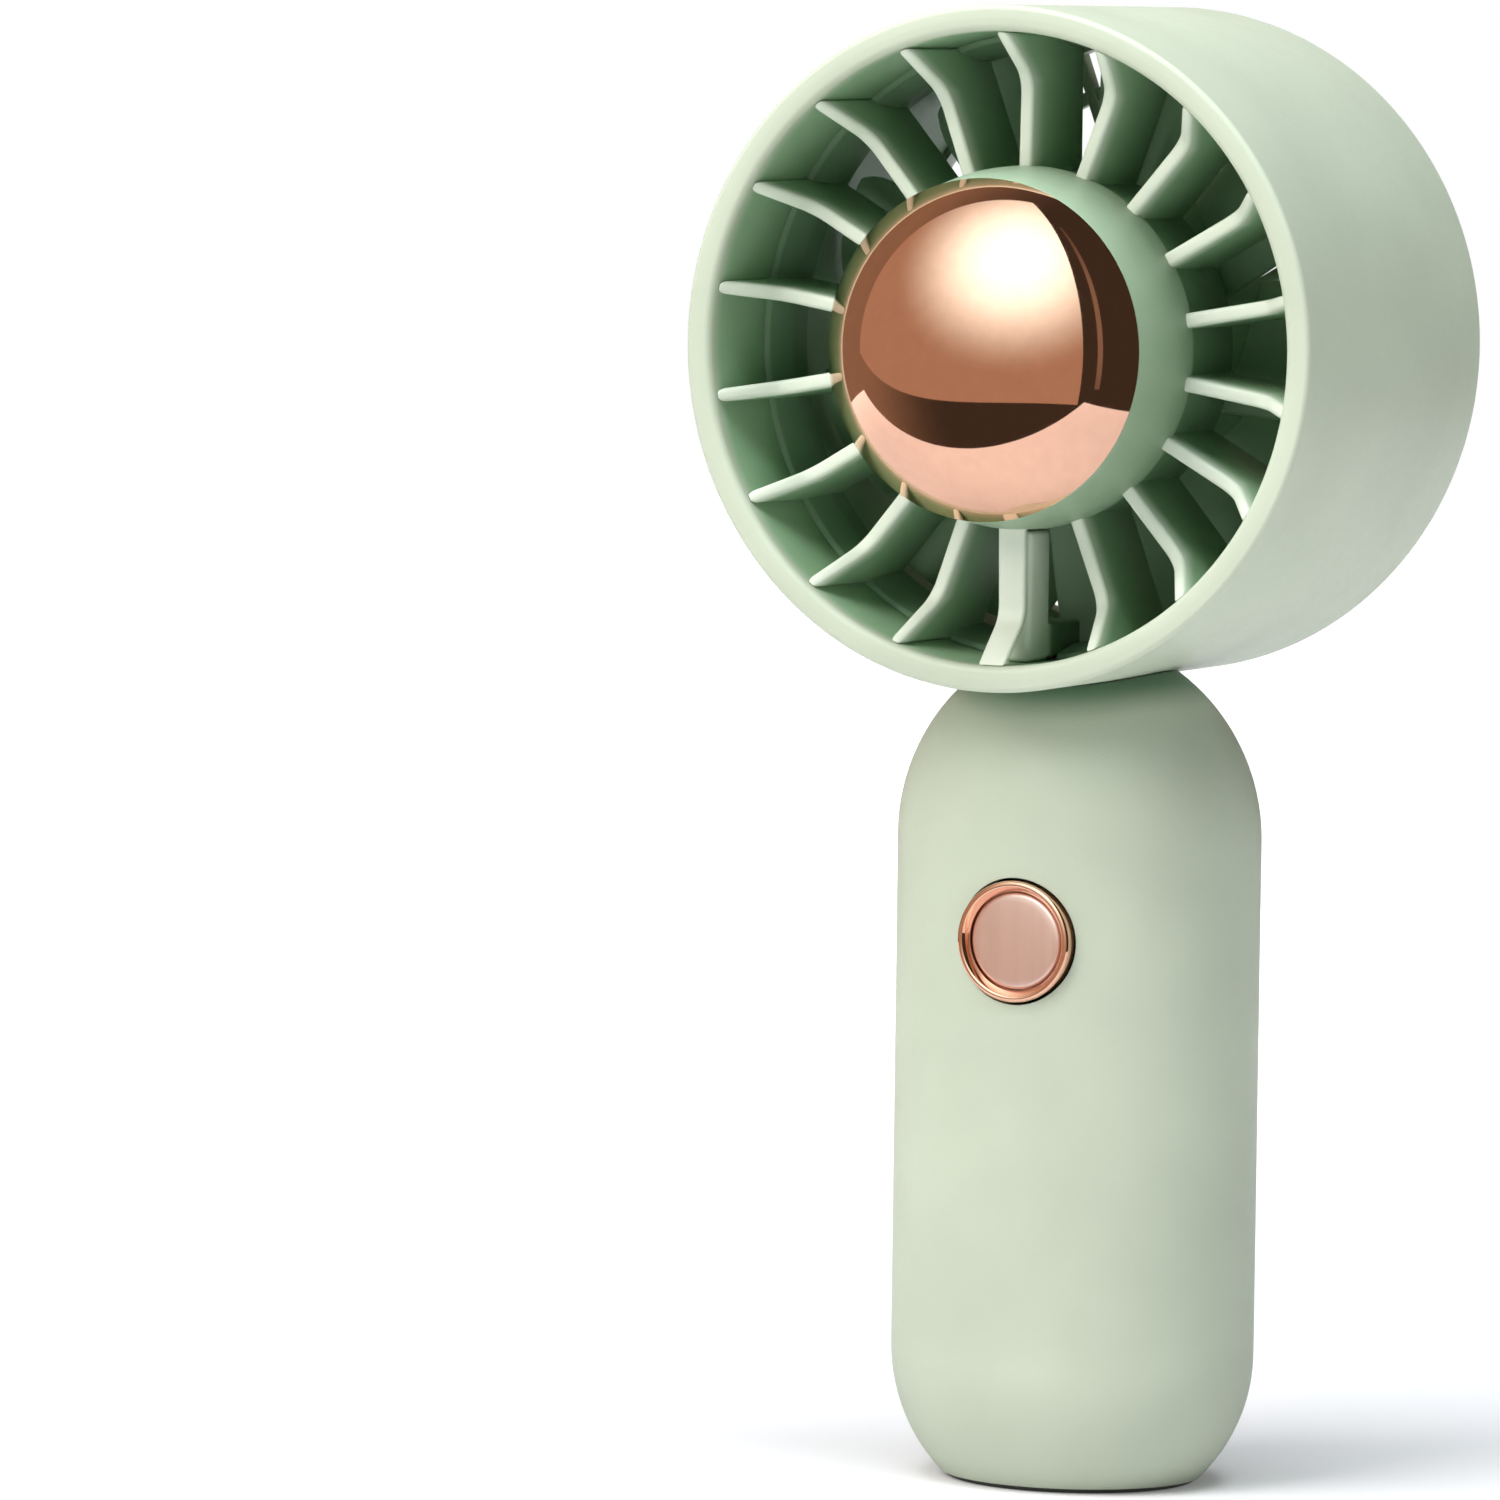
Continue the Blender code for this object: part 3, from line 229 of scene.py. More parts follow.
def rounded(corners, steps=5, closed=True):
    """Replace each (a, b, radius) corner of an outline by an arc of that radius."""
    points = []
    count = len(corners)
    for index, corner in enumerate(corners):
        here = Vector(corner[:2])
        radius = corner[2] if len(corner) > 2 else 0.0
        at_end = not closed and index in (0, count - 1)
        if radius <= 0.0 or at_end:
            points.append((here.x, here.y))
            continue
        before = (Vector(corners[index - 1][:2]) - here).normalized()
        after = (Vector(corners[(index + 1) % count][:2]) - here).normalized()
        half = before.angle(after) / 2.0
        reach = radius / math.tan(half)
        middle = here + (before + after).normalized() * (radius / math.sin(half))
        start = here + before * reach - middle
        end = here + after * reach - middle
        sweep = start.angle_signed(end)
        for step in range(steps + 1):
            turned = start.copy()
            turned.rotate(Matrix.Rotation(-sweep * step / steps, 2))
            points.append((middle.x + turned.x, middle.y + turned.y))
    return points


def lathe(name, outline, material, body, steps=160, centre=HEAD, sharp=32.0):
    """Turn (radius, y) points about the Y axis through centre."""
    shape = bmesh.new()
    rings = []
    for radius, along in outline:
        if radius < 1e-7:
            rings.append([shape.verts.new((centre.x, along, centre.z))])
            continue
        ring = []
        for step in range(steps):
            angle = 2.0 * math.pi * step / steps
            ring.append(shape.verts.new((centre.x + radius * math.cos(angle), along,
                                         centre.z + radius * math.sin(angle))))
        rings.append(ring)
    pairs = list(zip(rings, rings[1:]))
    if outline[0][0] > 1e-7:
        pairs.append((rings[-1], rings[0]))
    for first, second in pairs:
        for step in range(steps):
            after = (step + 1) % steps
            if len(first) == 1 and len(second) == 1:
                break
            if len(first) == 1:
                shape.faces.new((first[0], second[after], second[step]))
            elif len(second) == 1:
                shape.faces.new((first[step], first[after], second[0]))
            else:
                shape.faces.new((first[step], first[after], second[after], second[step]))
    return finish_mesh(name, shape, material, body, sharp)


def combine(target, tool, operation):
    """Apply a Boolean with a tool that is then removed."""
    modifier = target.modifiers.new("boolean", "BOOLEAN")
    modifier.operation = operation
    modifier.solver = "EXACT"
    if tool.data.materials:
        modifier.material_mode = "TRANSFER"
    modifier.object = tool
    apply_modifiers(target)
    bpy.data.objects.remove(tool, do_unlink=True)


def apply_modifiers(piece, sharp=32.0):
    """Make the evaluated shape the piece's own mesh."""
    was_hidden = piece.hide_viewport
    piece.hide_viewport = False
    bpy.context.view_layer.update()
    evaluated = piece.evaluated_get(bpy.context.evaluated_depsgraph_get())
    mesh = bpy.data.meshes.new_from_object(evaluated)
    piece.modifiers.clear()
    piece.data = mesh
    mesh.shade_smooth()
    mesh.set_sharp_from_angle(angle=math.radians(sharp))
    piece.hide_viewport = was_hidden


def plate(shape, outline, thickness, place, back_thickness=None):
    """Add a plate: the outline lies in place's XY plane; it may be thicker at its rear (y)."""
    back = back_thickness or thickness
    low = min(y for x, y in outline)
    high = max(y for x, y in outline)
    sides = []
    for side in (-0.5, 0.5):
        ring = []
        for x, y in outline:
            wide = thickness + (back - thickness) * (y - low) / (high - low)
            ring.append(shape.verts.new(place @ Vector((x, y, side * wide))))
        sides.append(ring)
    count = len(outline)
    shape.faces.new(sides[0])
    shape.faces.new(list(reversed(sides[1])))
    for index in range(count):
        after = (index + 1) % count
        shape.faces.new((sides[0][index], sides[1][index], sides[1][after], sides[0][after]))


def spoke_place(angle):
    """Frame of a spoke: X outwards at that angle, Y along the head's axis."""
    outwards = Vector((math.cos(angle), 0.0, math.sin(angle)))
    along = Vector((0.0, 1.0, 0.0))
    turn = Matrix((outwards, along, outwards.cross(along))).transposed().to_4x4()
    return Matrix.Translation((HEAD.x, 0.0, HEAD.z)) @ turn


def box_solid(name, low, high, round_off=0.0, segments=4, material=None, body=None):
    """A box whose edges along Y are rounded."""
    shape = bmesh.new()
    bmesh.ops.create_cube(shape, size=1.0)
    size = Vector(high) - Vector(low)
    middle = (Vector(high) + Vector(low)) / 2.0
    bmesh.ops.transform(shape, matrix=Matrix.Translation(middle) @ Matrix.Diagonal((*size, 1.0)),
                        verts=shape.verts)
    if round_off:
        edges = [e for e in shape.edges
                 if abs((e.verts[0].co - e.verts[1].co).normalized().y) > 0.9]
        bmesh.ops.bevel(shape, geom=edges, offset=round_off, segments=segments, profile=0.5,
                        affect="EDGES")
    return finish_mesh(name, shape, material, body)


def round_edges(piece, width, segments=3):
    """Round every edge sharper than 35 degrees."""
    bevel = piece.modifiers.new("edge", "BEVEL")
    bevel.width = width
    bevel.segments = segments
    bevel.limit_method = "ANGLE"
    bevel.angle_limit = math.radians(35.0)
    bevel.use_clamp_overlap = True
    apply_modifiers(piece, 40.0)


# ---------------------------------------------------------------- materials

SAGE_COLOUR = (0.455, 0.51, 0.395)
# Colours of painted shade, and the front lines (radius, y) behind which each fades in: inside the
# bore, on the vanes, on the hub collar and the conduit's foot, and a painted shadow of the drum
# on the handle's neck.
PAINTED_INNER_SHADE = (0.25, 0.40, 0.235)
PAINTED_DEEP_SHADE = (0.17, 0.28, 0.16)
BORE_LINE = ((31.4 * MM, -21.7 * MM), (32.0 * MM, 50.0 * MM))
VANE_LINE = ((26.4 * MM, -15.4 * MM), (31.0 * MM, -21.4 * MM))
NECK_LINE = ((33.7 * MM, -60.0 * MM), (39.5 * MM, 12.0 * MM))
PAINTED_NECK_SHADE = (0.11, 0.20, 0.115)
COLLAR_LINE = ((17.0 * MM, -14.2 * MM), (18.0 * MM, -14.2 * MM))
CONDUIT_LINE = ((18.0 * MM, -11.5 * MM), (31.0 * MM, -11.5 * MM))

# Handle plastic with a painted shadow of the drum on the handle's neck, deepest next to the drum.
SAGE = moulded_plastic("sage_satin_plastic", SAGE_COLOUR, 0.42,
                       shade=(NECK_LINE, 50.0 * MM, PAINTED_NECK_SHADE))
# Drum plastic with painted shade deepening into the bore behind the lip.
SAGE_DRUM = moulded_plastic("sage_drum_plastic", SAGE_COLOUR, 0.42,
                            shade=(BORE_LINE, 2.6 * MM, PAINTED_INNER_SHADE))
# Vanes and rib: paler than the sage outside as painted light on their front edges, with painted
# shade behind the vane line.
SAGE_GRILLE_PAINTED_LIGHT_AND_SHADE = moulded_plastic("sage_grille_painted_light_and_shade", (0.64, 0.70, 0.58), 0.42,
                             shade=(VANE_LINE, 3.5 * MM, PAINTED_INNER_SHADE))
# Hub collar: darker than the sage outside as painted shade behind the dome, deepening further
# behind its ridge.
SAGE_COLLAR_PAINTED_SHADE = moulded_plastic("sage_collar_painted_shade", (0.275, 0.37, 0.25), 0.45,
                              shade=(COLLAR_LINE, 1.5 * MM, PAINTED_DEEP_SHADE))
# Seating ring: coloured the painted deep shade all over, so it reads as shadow inside the bore.
SAGE_RING_PAINTED_SHADE = moulded_plastic("sage_ring_painted_shade", PAINTED_DEEP_SHADE, 0.6)
# Conduit: paler than the sage outside as painted light on its side, with painted shade on its
# foot behind the conduit line.
SAGE_CONDUIT_PAINTED_LIGHT_AND_SHADE = moulded_plastic("sage_conduit_painted_light_and_shade", (0.72, 0.78, 0.66), 0.42,
                               shade=(CONDUIT_LINE, 1.5 * MM, PAINTED_DEEP_SHADE))
SAGE_REAR = moulded_plastic("sage_rear_plastic", SAGE_COLOUR, 0.45)
# Impeller: a deeper green than the sage outside, painted shade for the inside of the head.
SAGE_IMPELLER_PAINTED_SHADE = moulded_plastic("sage_impeller_painted_shade", (0.33, 0.50, 0.31), 0.5)
ROSE_CHROME = plated_metal("rose_chrome", (0.93, 0.54, 0.385), 0.035, spread=0.012,
                           relief=0.0003 * MM)
ROSE_SATIN = plated_metal("rose_satin_brushed", (0.98, 0.71, 0.63), 0.3, grain=1300.0,
                          spread=0.015, relief=0.0002 * MM, stretch=(1.0, 1.0, 0.08),
                          metallic=0.86)
FOOT_RUBBER = moulded_plastic("foot_rubber", (0.035, 0.04, 0.035), 0.7, 2500.0, 0.02 * MM)
SCREW_STEEL = plated_metal("screw_steel", (0.62, 0.62, 0.64), 0.28, grain=3000.0, spread=0.06)
DRAWN_STEEL = plated_metal("drawn_steel", (0.60, 0.61, 0.63), 0.32, grain=1500.0, spread=0.08,
                           stretch=(1.0, 0.1, 1.0))
CORE_IRON = plated_metal("laminated_iron", (0.30, 0.31, 0.33), 0.5, grain=5000.0, spread=0.08,
                         stretch=(0.05, 1.0, 0.05))
BRONZE = plated_metal("sintered_bronze", (0.66, 0.44, 0.20), 0.42, grain=5000.0, spread=0.1,
                      relief=0.004 * MM)
COPPER = plated_metal("enamelled_copper", (0.72, 0.32, 0.14), 0.3, grain=2500.0, spread=0.08,
                      relief=0.01 * MM, stretch=(1.0, 0.12, 1.0))
NICKEL = plated_metal("nickel_strip", (0.68, 0.67, 0.64), 0.25, grain=2500.0, spread=0.06)
FERRITE = moulded_plastic("ferrite", (0.055, 0.055, 0.06), 0.55, 6000.0, 0.01 * MM, 0.15)
OFF_WHITE = moulded_plastic("off_white_plastic", (0.76, 0.76, 0.73), 0.45)
BLACK_RUBBER = moulded_plastic("black_rubber", (0.03, 0.03, 0.032), 0.75, 2500.0, 0.02 * MM, 0.12)
CELL_WRAP = moulded_plastic("cell_wrap", (0.05, 0.19, 0.38), 0.28, 500.0, 0.01 * MM, 0.08)
BOARD_GREEN = moulded_plastic("solder_mask", (0.02, 0.16, 0.07), 0.25, 900.0, 0.01 * MM, 0.15)
BLACK_PLASTIC = moulded_plastic("black_plastic", (0.025, 0.025, 0.026), 0.4, 5000.0, 0.01 * MM,
                                0.15)
RED_SLEEVE = moulded_plastic("red_wire_sleeve", (0.50, 0.02, 0.015), 0.35, 2500.0, 0.005 * MM,
                             0.08)
BLACK_SLEEVE = moulded_plastic("black_wire_sleeve", (0.02, 0.02, 0.021), 0.35, 2500.0,
                               0.005 * MM, 0.12)

INNER_MATERIALS = {
    DRAWN_STEEL: ("motor_can", "motor_shaft"),
    CORE_IRON: ("armature_core",),
    SCREW_STEEL: ("motor_screw_left", "motor_screw_right", "pcb_screw_lower", "pcb_screw_upper",
                  "head_screw_left", "head_screw_right"),
    BRONZE: ("motor_bush_front", "motor_bush_rear", "motor_brush_left", "motor_brush_right",
             "impeller_insert"),
    COPPER: ("armature_coil_1", "armature_coil_2", "armature_coil_3", "commutator"),
    FERRITE: ("motor_magnet_left", "motor_magnet_right", "power_inductor"),
    OFF_WHITE: ("motor_end_cap", "battery_cradle", "switch_stem"),
    BLACK_RUBBER: ("motor_damper_ring", "battery_foam_pad"),
    CELL_WRAP: ("battery_cell",),
    NICKEL: ("battery_tab_negative", "battery_tab_positive"),
    BOARD_GREEN: ("control_pcb",),
    BLACK_PLASTIC: ("control_chip", "charge_chip", "tact_switch"),
    RED_SLEEVE: ("motor_wire_red", "battery_wire_red"),
    BLACK_SLEEVE: ("motor_wire_black", "battery_wire_black"),
}


def dress_inner_nodes():
    """The sealed inner pieces keep their CAD shape and take a procedural material."""
    for material, names in INNER_MATERIALS.items():
        for name in names:
            mesh = frame["nodes"][name].data
            mesh.materials.clear()
            mesh.materials.append(material)
            mesh.shade_smooth()
            mesh.set_sharp_from_angle(angle=math.radians(35.0))


# ---------------------------------------------------------------- head

BORE = 31.0 * MM
REAR_SEAT_RADIUS = 32.3 * MM
REAR_SEAT_Y = 18.6 * MM
NECK_HALF_WIDTH = 8.4 * MM
NECK_HALF_DEPTH = 7.2 * MM
TOOL_REACH = 20.0 * MM       # half the length of the round cutters that run through the head


def make_drum():
    """The head's shell: a crisp outer edge and a soft slope from the lip into the bore."""
    front = DRUM_LOW.y
    rear = DRUM_HIGH.y
    outline = rounded([
        (DRUM_RADIUS, front, 0.55 * MM),
        (DRUM_RADIUS, rear, 1.1 * MM),
        (REAR_SEAT_RADIUS, rear, 0.25 * MM),
        (REAR_SEAT_RADIUS, REAR_SEAT_Y),
        (BORE, REAR_SEAT_Y, 0.15 * MM),
        (BORE, front + 0.1 * MM, 0.8 * MM),
        (BORE + 1.3 * MM, front, 1.5 * MM),
    ], steps=7)
    drum = lathe("head_drum_shell", outline, SAGE_DRUM, "housing", steps=256)
    neck = oval("neck_solid", [(z, NECK_HALF_WIDTH, NECK_HALF_DEPTH) for z in
                               (DRUM_LOW.z, HEAD.z - BORE + 2.5 * MM)], None, None, 96)
    trim_radius = BORE + 0.6 * MM
    trim = lathe("neck_trim", [(0.0, -TOOL_REACH), (trim_radius, -TOOL_REACH),
                               (trim_radius, TOOL_REACH), (0.0, TOOL_REACH)],
                 None, None, steps=256)
    combine(neck, trim, "DIFFERENCE")
    combine(drum, neck, "UNION")
    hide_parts("head_drum")


VANE_COUNT = 18
VANE_TIP = BORE - 0.05 * MM
VANE_BACK = GRILLE_HIGH.y
VANE_FRONT_THICKNESS = 1.3 * MM
VANE_BACK_THICKNESS = 1.7 * MM
RIB_WIDTH = 2.9 * MM
HUB_FRONT = -24.05 * MM
HUB_FRONT_RADIUS = 16.75 * MM
HUB_RIDGE = -14.0 * MM
HUB_RIDGE_RADIUS = 17.9 * MM
HUB_RADIUS = 17.45 * MM
HUB_BORE = 15.2 * MM
NOTCH_HALF = 1.8 * MM        # gap in the seating ring for the conduit's foot
NOTCH_HEIGHT = 4.2 * MM
WIRE_WAY_HALF = 0.75 * MM    # half the width of the wires' way


def make_front_grille():
    """Hub cup, vanes, six o'clock rib and seating ring as one moulding."""
    hub = lathe("front_grille_moulding", rounded([
        (HUB_FRONT_RADIUS, HUB_FRONT, 0.25 * MM),
        (HUB_RIDGE_RADIUS - 0.1 * MM, HUB_RIDGE - 3.0 * MM, 8.0 * MM),
        (HUB_RIDGE_RADIUS, HUB_RIDGE, 0.2 * MM),
        (HUB_RADIUS, HUB_RIDGE + 0.35 * MM, 0.2 * MM),
        (HUB_RADIUS, VANE_BACK, 0.3 * MM),
        (16.0 * MM, VANE_BACK),
        (16.0 * MM, -5.4 * MM),
        (3.6 * MM, -5.4 * MM),
        (3.6 * MM, -7.2 * MM),
        (HUB_BORE, -7.2 * MM),
        (HUB_BORE, HUB_FRONT),
    ]), SAGE_COLLAR_PAINTED_SHADE, "housing", steps=180)
    root = HUB_RADIUS - 0.7 * MM
    vane = rounded([
        (root, -15.2 * MM),
        (26.4 * MM, -14.9 * MM, 3.0 * MM),
        (VANE_TIP, -21.3 * MM),
        (VANE_TIP, VANE_BACK),
        (root, VANE_BACK),
    ], steps=6)
    shape = bmesh.new()
    for index in range(VANE_COUNT):
        if index != VANE_COUNT // 2:
            place = spoke_place(math.radians(90.0 + 360.0 * index / VANE_COUNT))
            plate(shape, vane, VANE_FRONT_THICKNESS, place, VANE_BACK_THICKNESS)
    vanes = finish_mesh("vanes", shape, SAGE_GRILLE_PAINTED_LIGHT_AND_SHADE, None)
    round_edges(vanes, 0.42 * MM, 4)
    front = rounded([
        (root, -17.1 * MM),
        (26.4 * MM, -16.8 * MM, 3.0 * MM),
        (VANE_TIP, -21.5 * MM),
    ], steps=6, closed=False)
    back = [(radius, along + 0.9 * MM) for radius, along in reversed(front)]
    shape = bmesh.new()
    plate(shape, front + back, RIB_WIDTH, spoke_place(math.radians(270.0)))
    rib = finish_mesh("rib", shape, SAGE_GRILLE_PAINTED_LIGHT_AND_SHADE, None)
    round_edges(rib, 0.3 * MM, 3)
    ring = lathe("ring", rounded([
        (VANE_TIP, -10.0 * MM), (VANE_TIP, VANE_BACK), (29.5 * MM, VANE_BACK),
        (29.6 * MM, -6.0 * MM, 3.0 * MM), (30.4 * MM, -9.8 * MM, 0.4 * MM)]),
                 SAGE_RING_PAINTED_SHADE, None, 180)
    for tool in (vanes, rib, ring):
        combine(hub, tool, "UNION")
    floor = HEAD.z - BORE
    combine(hub, box_solid("notch", (-NOTCH_HALF, -11.0 * MM, floor - 1.0 * MM),
                           (NOTCH_HALF, -2.0 * MM, floor + NOTCH_HEIGHT)), "DIFFERENCE")
    combine(hub, box_solid("slot", (-WIRE_WAY_HALF, -16.2 * MM, HEAD.z - 19.0 * MM),
                           (WIRE_WAY_HALF, -11.5 * MM, HEAD.z - 14.2 * MM)), "DIFFERENCE")
    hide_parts("front_grille")


CONDUIT_FRONT_Y = -15.6 * MM
CONDUIT_BACK_Y = -10.8 * MM
CONDUIT_FOOT_Y = -3.5 * MM
CONDUIT_HALF = 1.45 * MM
CONDUIT_WALL = 0.7 * MM
CONDUIT_TUNNEL = 2.7 * MM    # height of the wires' way inside the foot


def make_conduit():
    """The straight bar behind the rib that carries the motor's wires, with its foot."""
    low = CONDUIT_LOW.z
    high = HEAD.z - HUB_RIDGE_RADIUS - 0.05 * MM
    foot_top = low + CONDUIT_TUNNEL + CONDUIT_WALL
    bar = box_solid("wire_conduit_bar", (-CONDUIT_HALF, CONDUIT_FRONT_Y, low - 0.3 * MM),
                    (CONDUIT_HALF, CONDUIT_BACK_Y, high), 0.0, 1, SAGE_CONDUIT_PAINTED_LIGHT_AND_SHADE, "housing")
    round_edges(bar, 0.6 * MM, 5)
    foot = box_solid("foot_block", (-CONDUIT_HALF, CONDUIT_BACK_Y - 1.0 * MM, low),
                     (CONDUIT_HALF, CONDUIT_FOOT_Y, foot_top), material=SAGE_CONDUIT_PAINTED_LIGHT_AND_SHADE)
    round_edges(foot, 0.4 * MM, 4)
    combine(bar, foot, "UNION")
    bore = box_solid("bore", (-WIRE_WAY_HALF, CONDUIT_FRONT_Y + CONDUIT_WALL, low - 1.0 * MM),
                     (WIRE_WAY_HALF, CONDUIT_BACK_Y - CONDUIT_WALL, high + 1.0 * MM))
    combine(bar, bore, "DIFFERENCE")
    combine(bar, box_solid("entry", (-WIRE_WAY_HALF, CONDUIT_BACK_Y - 1.7 * MM, low - 1.0 * MM),
                           (WIRE_WAY_HALF, CONDUIT_FOOT_Y + 1.0 * MM, low + CONDUIT_TUNNEL)),
            "DIFFERENCE")
    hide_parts("wire_conduit")


def make_hub_cap():
    """Polished dome: a round crown that turns down steeply to its rim."""
    rim = HUB_FRONT - GAP
    height = rim - CAP_LOW.y
    radius = CAP_HIGH.x
    ball = (radius ** 2 + height ** 2) / (2.0 * height)
    edge = math.asin(radius / ball)
    steps = 40
    outline = []
    for step in range(steps + 1):
        angle = edge * step / steps
        outline.append((ball * math.sin(angle), rim - height + ball * (1.0 - math.cos(angle))))
    skirt = HUB_BORE - GAP
    outline += [(radius - 0.05 * MM, rim + 0.1 * MM), (radius - 0.3 * MM, rim + 0.18 * MM),
                (skirt, rim + 0.18 * MM), (skirt, CAP_HIGH.y), (skirt - 1.0 * MM, CAP_HIGH.y),
                (skirt - 1.0 * MM, rim - 0.4 * MM), (9.0 * MM, rim - 4.6 * MM),
                (0.0, rim - height + 1.2 * MM)]
    cap = lathe("hub_dome", outline, ROSE_CHROME, "housing", steps=224, sharp=30.0)
    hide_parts("hub_cap")


REAR_BAR_COUNT = 18
REAR_RINGS = (20.0 * MM, 26.0 * MM)
REAR_DISC = 12.0 * MM
REAR_BAR_FRONT = 19.6 * MM
REAR_BAR_BACK = 21.4 * MM
REAR_BAR_END = 31.2 * MM
REAR_SEAT_BORE = 30.4 * MM


def make_rear_grille():
    """Air intake: a dished centre, two rings and radial bars in a seating ring."""
    front = REAR_LOW.y
    rear = REAR_HIGH.y
    outer = REAR_HIGH.x
    middle = (REAR_BAR_FRONT + REAR_BAR_BACK) / 2.0
    grille = lathe("rear_grille_moulding", rounded([
        (outer, front), (outer, rear - 0.1 * MM, 0.4 * MM),
        (REAR_SEAT_BORE, rear - 0.1 * MM, 0.5 * MM), (REAR_SEAT_BORE, front)]),
                   SAGE_REAR, "housing", steps=180)
    shape = bmesh.new()
    root = REAR_DISC - 1.5 * MM
    bar = rounded([(root, REAR_BAR_FRONT), (REAR_BAR_END, REAR_BAR_FRONT),
                   (REAR_BAR_END, REAR_BAR_BACK), (root, REAR_BAR_BACK)])
    for index in range(REAR_BAR_COUNT):
        plate(shape, bar, 1.2 * MM, spoke_place(2.0 * math.pi * index / REAR_BAR_COUNT
                                                + math.pi / 2.0))
    bars = finish_mesh("bars", shape, SAGE_REAR, None)
    round_edges(bars, 0.35 * MM, 3)
    combine(grille, bars, "UNION")
    for radius in REAR_RINGS:
        half = 0.7 * MM
        hoop = lathe("hoop", rounded([
            (radius + half, middle - half, 0.3 * MM), (radius + half, middle + half, 0.3 * MM),
            (radius - half, middle + half, 0.3 * MM), (radius - half, middle - half, 0.3 * MM)],
            steps=3), SAGE_REAR, None, 144)
        combine(grille, hoop, "UNION")
    disc = lathe("disc", rounded([
        (0.0, 19.4 * MM), (REAR_DISC - 0.6 * MM, 19.4 * MM, 0.4 * MM),
        (REAR_DISC, 20.4 * MM, 0.5 * MM), (REAR_DISC - 0.7 * MM, 21.4 * MM, 0.6 * MM),
        (REAR_DISC - 3.0 * MM, 21.75 * MM, 2.0 * MM), (6.0 * MM, 21.3 * MM, 4.0 * MM),
        (0.0, 21.2 * MM)], steps=6, closed=False), SAGE_REAR, None, 144)
    combine(grille, disc, "UNION")
    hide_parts("rear_grille")


BLADE_COUNT = 9
BLADE_CHORD = 17.0 * MM
BLADE_TIP = 30.2 * MM
BLADE_CENTRE = 4.4 * MM
PITCH_ROOT = math.radians(42.0)
PITCH_TIP = math.radians(27.0)
IMPELLER_HUB = 16.2 * MM
BLADE_EDGE = 0.45 * MM       # thickness at the leading and trailing edges
BLADE_BODY = 0.75 * MM       # what the middle of the blade has on top of that


def blade_point(span, chord):
    """A point of the blade's middle surface, span from 0 to 1 and chord from -0.5 to 0.5."""
    root = IMPELLER_HUB - 0.7 * MM
    corner = max(0.0, (span - 0.78) / 0.22)
    swept = chord * (1.0 - 0.16 * corner ** 2)
    radius = root + (BLADE_TIP - root) * span
    pitch = PITCH_ROOT + (PITCH_TIP - PITCH_ROOT) * span
    bow = 1.2 * MM * (1.0 - (2.0 * chord) ** 2)
    axial = swept * BLADE_CHORD * math.sin(pitch) - bow * math.cos(pitch)
    around = swept * BLADE_CHORD * math.cos(pitch) + bow * math.sin(pitch)
    return radius, BLADE_CENTRE + axial, around / radius


def make_impeller():
    """Cup-shaped hub with twisted blades that thin towards their edges."""
    hub = lathe("impeller_rotor", rounded([
        (0.0, 9.3 * MM), (2.9 * MM, 9.3 * MM), (2.9 * MM, 1.5 * MM), (4.2 * MM, 1.5 * MM),
        (4.2 * MM, 13.2 * MM, 0.6 * MM), (8.0 * MM, 12.9 * MM, 3.0 * MM),
        (13.0 * MM, 11.4 * MM, 3.0 * MM), (14.8 * MM, 8.6 * MM, 2.0 * MM),
        (14.8 * MM, IMPELLER_LOW.y, 0.3 * MM), (IMPELLER_HUB, IMPELLER_LOW.y, 0.4 * MM),
        (IMPELLER_HUB, 9.0 * MM, 4.0 * MM), (15.2 * MM, 11.8 * MM, 2.0 * MM),
        (8.2 * MM, IMPELLER_HIGH.y - 0.3 * MM, 6.0 * MM), (0.0, IMPELLER_HIGH.y)],
        steps=6, closed=False), SAGE_IMPELLER_PAINTED_SHADE, "rotor", steps=144)
    across = 20
    out = 14
    shape = bmesh.new()
    for index in range(BLADE_COUNT):
        turn = -2.0 * math.pi * index / BLADE_COUNT
        faces = []
        for side in (-0.5, 0.5):
            grid = []
            for step in range(out + 1):
                row = []
                for part in range(across + 1):
                    chord = part / across - 0.5
                    radius, along, angle = blade_point(step / out, chord)
                    body = math.sqrt(max(0.0, 1.0 - (2.0 * chord) ** 2))
                    thick = side * (BLADE_EDGE + BLADE_BODY * body)
                    pitch = PITCH_ROOT + (PITCH_TIP - PITCH_ROOT) * step / out
                    shift = thick * math.sin(pitch) / radius
                    lift = thick * math.cos(pitch)
                    angle = angle + turn - shift
                    row.append(shape.verts.new((HEAD.x + radius * math.cos(angle), along + lift,
                                                HEAD.z + radius * math.sin(angle))))
                grid.append(row)
            faces.append(grid)
        lower, upper = faces
        for step in range(out):
            for part in range(across):
                for grid in faces:
                    shape.faces.new((grid[step][part], grid[step][part + 1],
                                     grid[step + 1][part + 1], grid[step + 1][part]))
        for part in range(across):
            for step in (0, out):
                shape.faces.new((lower[step][part], lower[step][part + 1],
                                 upper[step][part + 1], upper[step][part]))
        for step in range(out):
            for part in (0, across):
                shape.faces.new((lower[step][part], lower[step + 1][part],
                                 upper[step + 1][part], upper[step][part]))
    blades = finish_mesh("blades", shape, SAGE_IMPELLER_PAINTED_SHADE, None)
    combine(hub, blades, "UNION")
    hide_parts("impeller")


# ---------------------------------------------------------------- handle

